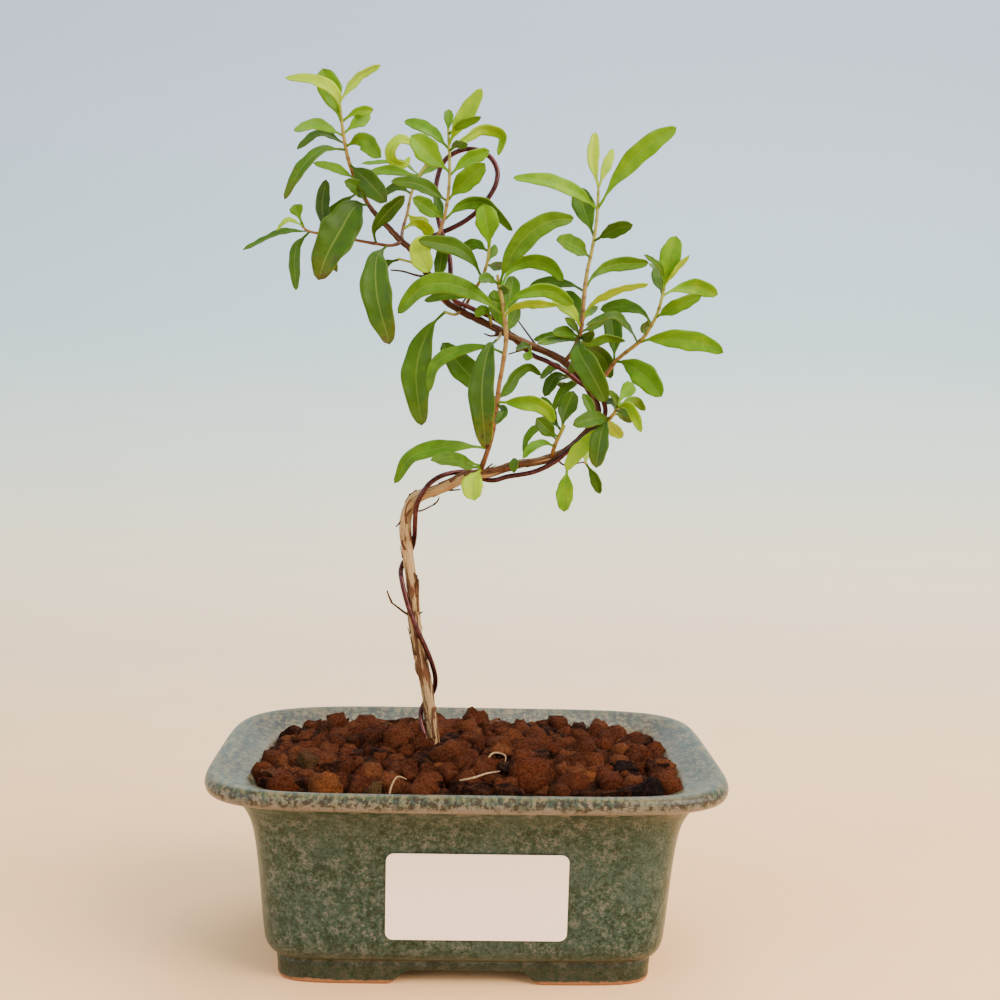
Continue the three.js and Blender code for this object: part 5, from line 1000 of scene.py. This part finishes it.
def lattice_random(seed):
    """The steady sequence that the soil's granules are set out by, in the range 0 to 1."""
    low_bits = 0xFFFFFFFF
    state = seed
    while True:
        state = (state + 0x6D2B79F5) & low_bits
        bits = ((state ^ (state >> 15)) * (1 | state)) & low_bits
        bits = ((bits + (((bits ^ (bits >> 7)) * (61 | bits)) & low_bits)) & low_bits) ^ bits
        yield ((bits ^ (bits >> 14)) & low_bits) / (low_bits + 1)


def granule_places():
    """Centres of the large granules and of the hollows between them, in mm."""
    chance = lattice_random(GRANULE["seed"])
    rows = 2 * math.ceil(SOIL["half_depth"] / GRANULE["row_pitch"]) + 5
    columns = 2 * math.ceil(SOIL["half_width"] / GRANULE["pitch"]) + 5
    centres = []
    for row in range(rows):
        for column in range(columns):
            shift_x, shift_y = (GRANULE["jitter"] * (2 * next(chance) - 1) for _ in range(2))
            centres.append(Vector((
                (column - (columns - 1) / 2 + 0.5 * (row % 2) - 0.25) * GRANULE["pitch"] + shift_x,
                (row - (rows - 1) / 2) * GRANULE["row_pitch"] + shift_y)))
    hollows = []
    for row in range(rows - 1):
        for column in range(columns - 1):
            shift = row % 2
            here, above = row * columns, (row + 1) * columns
            for corners in (
                    (here + column, here + column + 1, above + min(columns - 1, column + shift)),
                    (above + column, above + column + 1, here + min(columns - 1, column + 1 - shift))):
                hollows.append(sum((centres[corner] for corner in corners), Vector((0, 0))) / 3)
    return centres, hollows


def in_bed(place, reach):
    """Whether a granule of that reach fits inside the pot's mouth."""
    half_length, half_depth = HALF_LENGTH - MOUTH_INSET - reach, HALF_DEPTH - MOUTH_INSET - reach
    power = SQUARENESS[-1][2 if place.x < 0 < place.y else 1]
    return (abs(place.x) / half_length) ** power + (abs(place.y) / half_depth) ** power < 1


def add_granule(bm, place, size, cuts, chance, layer, colour=None):
    """One rough, blunt-cornered lump of baked clay."""
    made = bmesh.ops.create_cube(bm, size=1)["verts"]
    edges = list({edge for vert in made for edge in vert.link_edges})
    bmesh.ops.subdivide_edges(bm, edges=edges, cuts=cuts, use_grid_fill=True)
    turn = Euler([chance.uniform(0, 2 * math.pi) for _ in range(3)]).to_matrix()
    stretch = Vector((chance.uniform(0.9, 1.2), chance.uniform(0.85, 1.1), chance.uniform(0.75, 1.0)))
    offset = Vector([chance.uniform(0, 99) for _ in range(3)])
    if colour is None:
        shade = min(0.9, max(0.05, chance.gauss(0.5, 0.21)))
        colour = (1.0 if chance.random() < 0.01 else shade, 0.7 if chance.random() < 0.008 else 0.0, 0.0)
    for vert in [vert for vert in bm.verts if not vert.tag]:
        outward = vert.co.normalized()
        co = vert.co.lerp(outward * 0.56, 0.88)
        lump = 0.36 * noise.noise(outward * 1.4 + offset) + 0.34 * noise.noise(outward * 3.0 + offset)
        co = co * (1 + lump) + outward * chance.uniform(-0.03, 0.03)
        vert.co = (place + (turn @ (co * stretch)) * size) * MM
        vert[layer] = (*colour, 1)
        vert.tag = True


def off_litter(place, reach):
    """Whether a place is further than that from the root hairs and the dry leaf."""
    lines = [line for name, line in LITTER.items() if name.startswith("root")] + [DRY_LEAF["line"]]
    return all((Vector(point[:2]) - place).length > reach for line in lines for point in line)


class BONSAI_OT_soil(bpy.types.Operator):
    """Bed of baked clay granules of all sizes"""
    bl_idname = "bonsai.soil"
    bl_label = "Soil"

    def execute(self, context):
        settings = context.scene.bonsai_soil
        clay = clay_material(settings)
        # The bed under the granules has no granule colour, so it takes the clay's near-black first stop:
        # painted shade in the gaps between them.
        dress("soil", clay)
        chance = seeded("soil")
        centres, hollows = granule_places()
        bm = bmesh.new()
        layer = bm.verts.layers.float_color.new("granule")
        placed = []
        for x, y, size, lift, *colour in ODD_GRANULES:
            add_granule(bm, on_soil((x, y), lift), size, 2, chance, layer, colour)
            placed.append((Vector((x, y)), size))
        kinds = [(place, LARGE) for place in centres] + [(place, MEDIUM) for place in hollows]
        for place, (sizes, lifts) in kinds:
            size, lift = chance.uniform(*sizes), chance.uniform(*lifts)
            free = all((place - other).length > 0.42 * reach + 0.3 * size for other, reach in placed)
            if free and in_bed(place, size * 0.42) and (place - TRUNK_FOOT).length >= size * 0.5 + 2.4:
                lift = lift if off_litter(place, 0.5 * size + 1) else min(lift, -0.8)
                add_granule(bm, on_soil(place, lift), size, 2, chance, layer)
        for hollow in hollows:
            for _ in range(settings.crumbs):
                place = hollow + Vector((chance.uniform(-3, 3), chance.uniform(-3, 3)))
                size = chance.uniform(*CRUMB[0])
                if in_bed(place, size * 0.4) and (place - TRUNK_FOOT).length > size * 0.5 + 2.2:
                    add_granule(bm, on_soil(place, chance.uniform(*CRUMB[1])), size, 1, chance, layer)
        add_piece("soil_granules", bm, clay, smooth_below=180)
        return {"FINISHED"}


class BONSAI_OT_litter(bpy.types.Operator):
    """Dry leaf, bark chips and root hairs lying on the soil"""
    bl_idname = "bonsai.litter"
    bl_label = "Litter"

    def execute(self, context):
        root = plain_material("Dry root", (0.2, 0.115, 0.055), (0.4, 0.28, 0.15), 900, 0.7, 0.0002)
        dry = plain_material("Dry leaf and bark", (0.02, 0.007, 0.003), (0.11, 0.04, 0.015), 600, 0.85, 0.0005)
        for name, line in LITTER.items():
            stations = spaced([Vector(row[:3]) for row in line], 30)
            bm = bmesh.new()
            if name.startswith("root"):
                add_tube(bm, stations, lambda share: 0.32 - 0.14 * share, 10)
                self.lay(name, bm, root, "root_hair")
            else:
                add_strip(bm, stations, 2.1 * max(row[3] for row in line), seeded(name))
                self.lay(name, bm, dry, "dry_litter")
        bm = bmesh.new()
        stations = spaced([Vector(row) for row in DRY_LEAF["line"]], 26)
        add_strip(bm, stations, DRY_LEAF["width"], seeded("dry leaf"))
        self.lay("dry_leaf", bm, dry, "dry_litter")
        return {"FINISHED"}

    def lay(self, name, bm, material, slot):
        """Sets a loose piece down at the level of the solid that it stands for."""
        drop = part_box(name)[0].z - min(vert.co.z for vert in bm.verts)
        bmesh.ops.translate(bm, verts=bm.verts, vec=(0, 0, drop))
        add_piece("fine_" + name, bm, material, [name])


def add_strip(bm, stations, width, chance):
    """A curled, ragged strip of dry leaf or bark."""
    bent = chance.uniform(0, 6)
    last = len(stations) - 1
    for vert in bmesh.ops.create_grid(bm, x_segments=6, y_segments=last, size=1)["verts"]:
        across = vert.co.x
        share, centre, along = stations[round((vert.co.y + 1) / 2 * last)]
        side = along.cross(Vector((0, 0, 1))).normalized()
        up = side.cross(along)
        half = width / 2 * math.sin(math.pi * min(0.97, max(0.05, share))) ** 0.6
        half *= 1 + 0.25 * noise.noise(Vector((share * 6, bent, across)))
        curl = 0.35 * width * across ** 2 + 0.12 * width * math.sin(9 * share + bent + across)
        vert.co = (centre + side * (half * across) + up * curl) * MM
    bmesh.ops.recalc_face_normals(bm, faces=bm.faces)
    bmesh.ops.solidify(bm, geom=bm.faces[:], thickness=0.35 * MM)


# ---------------------------------------------------------------- trunk, wire and shoots


class TreeSettings(bpy.types.PropertyGroup):
    """What a user would change on the tree."""
    wood: colour_of("Bare wood", "Colour of the trunk where the bark is off", (0.32, 0.215, 0.097))
    wire: colour_of("Wire", "Colour of the anodised wire", (0.07, 0.02, 0.02))
    leaf: colour_of("Leaf", "Colour of a leaf between young and old", (0.038, 0.1, 0.003))
    leaf_thickness: number_of("Leaf thickness", "Thickness of a leaf blade", 0.00032, 0.0001, 0.001)
    blade_step: number_of("Blade step", "Length of a blade's smallest division", 0.0009, 0.0004, 0.005)


def bark_relief(share, angle):
    """How far the trunk's surface stands out at a place, in mm."""
    _, rough = steps_between(BARK, share)
    place = Vector((2.2 * math.cos(angle), 2.2 * math.sin(angle), share * 90))
    ridge = noise.noise(Vector((place.x * 1.8, place.y * 1.8, share * 26)))
    return 0.16 * ridge + (0.1 + 0.5 * rough) * noise.noise(place * 1.4)


def bark_growth(share):
    """The trunk's bark cover, its roughness and how far out along the branch a place is."""
    return (*steps_between(BARK, share), min(1.0, max(0.0, (share - 0.56) / 0.1)))


def twig_relief(share, angle, radius):
    """How far a dead twig's surface stands out at a place, in mm."""
    return 0.05 * noise.noise(Vector((math.cos(angle), math.sin(angle), share * 20 + radius * 90)))


class BONSAI_OT_trunk(bpy.types.Operator):
    """Trunk and main branch with peeling bark, dead twigs and flakes"""
    bl_idname = "bonsai.trunk"
    bl_label = "Trunk"

    def execute(self, context):
        bark = bark_material(context.scene.bonsai_tree)
        trunk = route(TRUNK, 0.5)
        bm = bmesh.new()
        add_tube(bm, *trunk, 28, bark_relief, bark_growth, "bark")
        add_piece("bark_trunk", bm, bark, ["trunk"])
        bm = bmesh.new()
        for (radius,), *rows in TWIGS:
            stations, radius_at = route([(*row, radius) for row in rows], 0.6)
            add_tube(
                bm, stations, lambda share: radius_at(share) * (1.05 - 0.45 * share), 8,
                lambda share, angle: twig_relief(share, angle, radius), lambda share: (1.0, 0.25, 1.0), "bark")
        add_piece("dead_twigs", bm, bark)
        self.add_flakes(bark, *trunk)
        return {"FINISHED"}

    def add_flakes(self, bark, stations, radius_at):
        """Thin strips of bark lifting off the bare wood."""
        chance = seeded("flakes")
        bm = bmesh.new()
        growth = bm.verts.layers.float_color.new("growth")
        bm.loops.layers.uv.new("bark")
        for _ in range(FLAKES):
            start = chance.randrange(int(0.1 * len(stations)), int(0.62 * len(stations)))
            length = chance.randrange(6, 20)
            angle = chance.uniform(0, 2 * math.pi)
            width = chance.uniform(0.35, 1.1)
            lift = chance.uniform(0.1, 0.5)
            for vert in bmesh.ops.create_grid(bm, x_segments=3, y_segments=8, size=1, calc_uvs=True)["verts"]:
                across, up = vert.co.x, (vert.co.y + 1) / 2
                share, point, along = stations[min(len(stations) - 1, start + round(up * length))]
                side = (Vector((0, 1, 0)) - along * along.y).normalized()
                other = along.cross(side)
                radius = radius_at(share)
                turn = angle + across * width * (1 - 0.5 * up) / (2 * radius) + 0.3 * math.sin(up * 3 + angle)
                out = radius + 0.08 + lift * up ** 3 + 0.1 * across * across
                vert.co = (point + (side * math.cos(turn) + other * math.sin(turn)) * out) * MM
                vert[growth] = (1.0, chance.uniform(0, 0.8), 0, 1)
        thicken(add_piece("bark_flakes", bm, bark), 0.00016)


class BONSAI_OT_wire(bpy.types.Operator):
    """Training wire wound up the trunk and branch"""
    bl_idname = "bonsai.wire"
    bl_label = "Training wire"

    def execute(self, context):
        bm = bmesh.new()
        add_tube(bm, *route([(*row, WIRE_RADIUS) for row in WIRE_LINE], 0.7), 16)
        look = wire_material(context.scene.bonsai_tree)
        add_piece("wound_wire", bm, look, ["training_wire"])
        return {"FINISHED"}


def add_blade(bm, tone, sizes, midrib, index, letter, step, chance):
    """One leaf: a grid laid along its midrib, folded along it and waved towards its edges."""
    width, roll, broadest = sizes
    points = [at(row) for row in midrib]
    length = curve_through(points)[1][-1]
    count = max(12, round(length * MM / step))
    rows = spaced(points, count)
    exponent = math.log(0.5) / math.log(broadest)
    phase = 1.7 * index
    youth, age = TONE_VALUES[letter]
    youth += chance.uniform(-0.09, 0.09)
    veins = min(VEIN_SPREAD, length / 16)
    for vert in bmesh.ops.create_grid(bm, x_segments=8, y_segments=count - 1, size=1, calc_uvs=True)["verts"]:
        hand = vert.co.x
        share, centre, tangent = rows[min(count - 1, round((vert.co.y + 1) / 2 * (count - 1)))]
        side = tangent.cross(VIEW_POINT - centre).normalized()
        side.rotate(Matrix.Rotation(math.radians(roll), 3, tangent))
        normal = side.cross(tangent)
        on_blade = max(0.0, (share - BLADE_STALK) / (1 - BLADE_STALK))
        bluntness = BASE_BLUNTNESS + (TIP_BLUNTNESS - BASE_BLUNTNESS) * on_blade
        full = width / 2 * math.sin(math.pi * on_blade ** exponent) ** bluntness if 0 < on_blade < 1 else 0
        full *= 1 + 0.05 * math.sin(7 * math.pi * share + phase + hand)
        half = max(STALK_HALF_WIDTH * (0.85 if share < 0.5 else 1.6 * (1 - share)), full)
        wave = math.sin(3 * math.pi * share + phase + math.copysign(1, hand)) * math.sin(math.pi * share)
        rise = abs(hand) ** 1.25 * half * math.sin(BLADE_FOLD) + BLADE_WAVE * width * wave * hand * hand
        rise += 0.03 * width * hand * hand * math.sin(11 * math.pi * share + 2 * phase + hand)
        vert.co = (centre + side * (hand * half * math.cos(BLADE_FOLD)) + normal * rise) * MM
        vert[tone] = (youth, veins / VEIN_SPREAD, age, 1)


def add_shoot(name, settings, leaf_look, stem_look):
    """A shoot's stem and leaves, as two pieces that stand for its one solid."""
    stem, *leaves = SHOOTS[name].split(";")
    stem = rows_of(stem)
    start = stem[0][2]
    young = 0.15 if len(leaves) > 3 else 0.6
    ripeness = STEM_RIPENESS.get(name, 1.0)

    def knuckle(share):
        return max(0.0, math.sin(share * 2 * math.pi * len(leaves) * 0.6)) ** 6

    def relief(share, angle):
        rough = noise.noise(Vector((2 * math.cos(angle), 2 * math.sin(angle), share * 30)))
        return 0.07 * knuckle(share) + 0.04 * rough

    def growth(share):
        return (ripeness * (share * (1 - young) + young * share ** 0.5), knuckle(share), 0)

    stations, radius_at = route(bushed(stem, start), 0.8)
    bm = bmesh.new()
    add_tube(bm, stations, lambda share: STEM_SLENDER * radius_at(share), 12, relief, growth)
    add_piece("stem_" + name, bm, stem_look)
    bm = bmesh.new()
    tone = bm.verts.layers.float_color.new("tone")
    bm.loops.layers.uv.new("blade")
    for index, text in enumerate(leaves):
        letter, numbers = text.split(maxsplit=1)
        sizes, *midrib = rows_of(numbers)
        chance = seeded(name, index)
        add_blade(bm, tone, sizes, bushed(midrib, start), index, letter, settings.blade_step, chance)
    blades = add_piece("leaves_" + name, bm, leaf_look, [name], keep_normals=True)
    thicken(blades, settings.leaf_thickness)


class BONSAI_OT_shoots(bpy.types.Operator):
    """Leafy shoots: a stem and a set of blades for each"""
    bl_idname = "bonsai.shoots"
    bl_label = "Shoots"

    def execute(self, context):
        settings = context.scene.bonsai_tree
        leaf_look, stem_look = leaf_material(settings), stem_material()
        for name in SHOOTS:
            add_shoot(name, settings, leaf_look, stem_look)
        return {"FINISHED"}


# ---------------------------------------------------------------- stage, in m


class StageSettings(bpy.types.PropertyGroup):
    """What a user would change on the stage."""
    key_power: number_of("Key light", "Power of the main light", 32.0, 0, 200, "POWER")
    fill_power: number_of("Fill light", "Power of the light on the shadow side", 12.0, 0, 200, "POWER")
    daylight: number_of("Surround", "Strength of the light from all round", 1.15, 0, 5, "NONE")


class BONSAI_OT_stage(bpy.types.Operator):
    """Pale sweep, soft lights and the camera"""
    bl_idname = "bonsai.stage"
    bl_label = "Stage"

    def execute(self, context):
        settings = context.scene.bonsai_stage
        self.add_sweep()
        for name, power, size, place, colour in (
                ("Key light", settings.key_power, 0.9, (0.8, -0.5, 0.76), (1.0, 0.84, 0.69)),
                ("Fill light", settings.fill_power, 1.2, (-1.0, -0.7, 0.6), (1.0, 0.95, 0.9)),
                ("Back light", settings.fill_power, 0.8, (0.2, 0.6, 1.3), (1.0, 0.98, 0.95))):
            lamp = bpy.data.lights.new(name, "AREA")
            lamp.energy, lamp.size, lamp.color = power, size, colour
            holder = linked(name, lamp)
            holder.location = place
            to_tree = Vector((0, 0, 0.12)) - Vector(place)
            holder.rotation_euler = to_tree.to_track_quat("-Z", "Y").to_euler()
        world = bpy.data.worlds.new("Surround")
        world.use_nodes = True
        background = world.node_tree.nodes["Background"]
        background.inputs["Color"].default_value = (0.9, 0.94, 1.0, 1)
        background.inputs["Strength"].default_value = settings.daylight
        context.scene.world = world
        self.add_camera(context.scene)
        return {"FINISHED"}

    def add_sweep(self):
        """A floor that rises in a wide curve into a backdrop."""
        front, side, bend, depth, height, steps = -2.5, 3, 0.5, 0.95, 2.2, 24
        profile = [(front, 0), (depth - bend, 0)]
        for step in range(1, steps + 1):
            angle = math.pi / 2 * step / steps
            profile.append((depth - bend + bend * math.sin(angle), bend - bend * math.cos(angle)))
        profile.append((depth, height))
        bm = bmesh.new()
        verts = [bm.verts.new((-side, y, z)) for y, z in profile]
        edges = [bm.edges.new(pair) for pair in zip(verts, verts[1:])]
        swept = bmesh.ops.extrude_edge_only(bm, edges=edges)["geom"]
        bmesh.ops.translate(bm, verts=new_verts(swept), vec=(2 * side, 0, 0))
        bmesh.ops.recalc_face_normals(bm, faces=bm.faces)
        if bm.faces[:][0].normal.z < 0:
            bmesh.ops.reverse_faces(bm, faces=bm.faces)
        mesh = meshed("sweep", bm)
        mesh.shade_smooth()
        mesh.materials.append(sweep_material())
        linked("sweep", mesh)

    def add_camera(self, scene):
        """The camera, a little to the left of the tree, turned slightly right and down and rolled."""
        yaw, pitch, roll = 0.033, 0.077, 0.023
        sight = bpy.data.cameras.new("Camera")
        sight.sensor_width, sight.lens, sight.clip_start = 36, 52.2, 0.01
        camera = linked("Camera", sight)
        camera.matrix_world = (
            Matrix.Translation(VIEW_POINT * MM) @ Matrix.Rotation(-yaw, 4, "Z")
            @ Matrix.Rotation(math.pi / 2 - pitch, 4, "X") @ Matrix.Rotation(roll, 4, "Z"))
        scene.camera = camera


class BONSAI_PT_panel(bpy.types.Panel):
    """Lists the pieces in the 3D view's sidebar"""
    bl_label = "Pomegranate bonsai"
    bl_idname = "BONSAI_PT_panel"
    bl_space_type = "VIEW_3D"
    bl_region_type = "UI"
    bl_category = "Bonsai"

    def draw(self, context):
        for operator in OPERATORS:
            self.layout.operator(operator.bl_idname)
        for group in SETTINGS:
            settings = getattr(context.scene, group)
            for name in settings.__annotations__:
                self.layout.prop(settings, name)


OPERATORS = (
    BONSAI_OT_stage, BONSAI_OT_pot, BONSAI_OT_label, BONSAI_OT_soil, BONSAI_OT_litter, BONSAI_OT_trunk,
    BONSAI_OT_wire, BONSAI_OT_shoots,
)
SETTINGS = {
    "bonsai_stage": StageSettings,
    "bonsai_pot": PotSettings,
    "bonsai_soil": SoilSettings,
    "bonsai_tree": TreeSettings,
}
CLASSES = (*SETTINGS.values(), *OPERATORS, BONSAI_PT_panel)


def register():
    for kind in CLASSES:
        bpy.utils.register_class(kind)
    for name, settings in SETTINGS.items():
        setattr(bpy.types.Scene, name, bpy.props.PointerProperty(type=settings))


def unregister():
    for name in SETTINGS:
        delattr(bpy.types.Scene, name)
    for kind in reversed(CLASSES):
        bpy.utils.unregister_class(kind)


def main():
    register()
    bpy.ops.bonsai.stage()
    bpy.ops.bonsai.pot()
    bpy.ops.bonsai.label()
    bpy.ops.bonsai.soil()
    bpy.ops.bonsai.litter()
    bpy.ops.bonsai.trunk()
    bpy.ops.bonsai.wire()
    bpy.ops.bonsai.shoots()


if __name__ == "__main__":
    main()
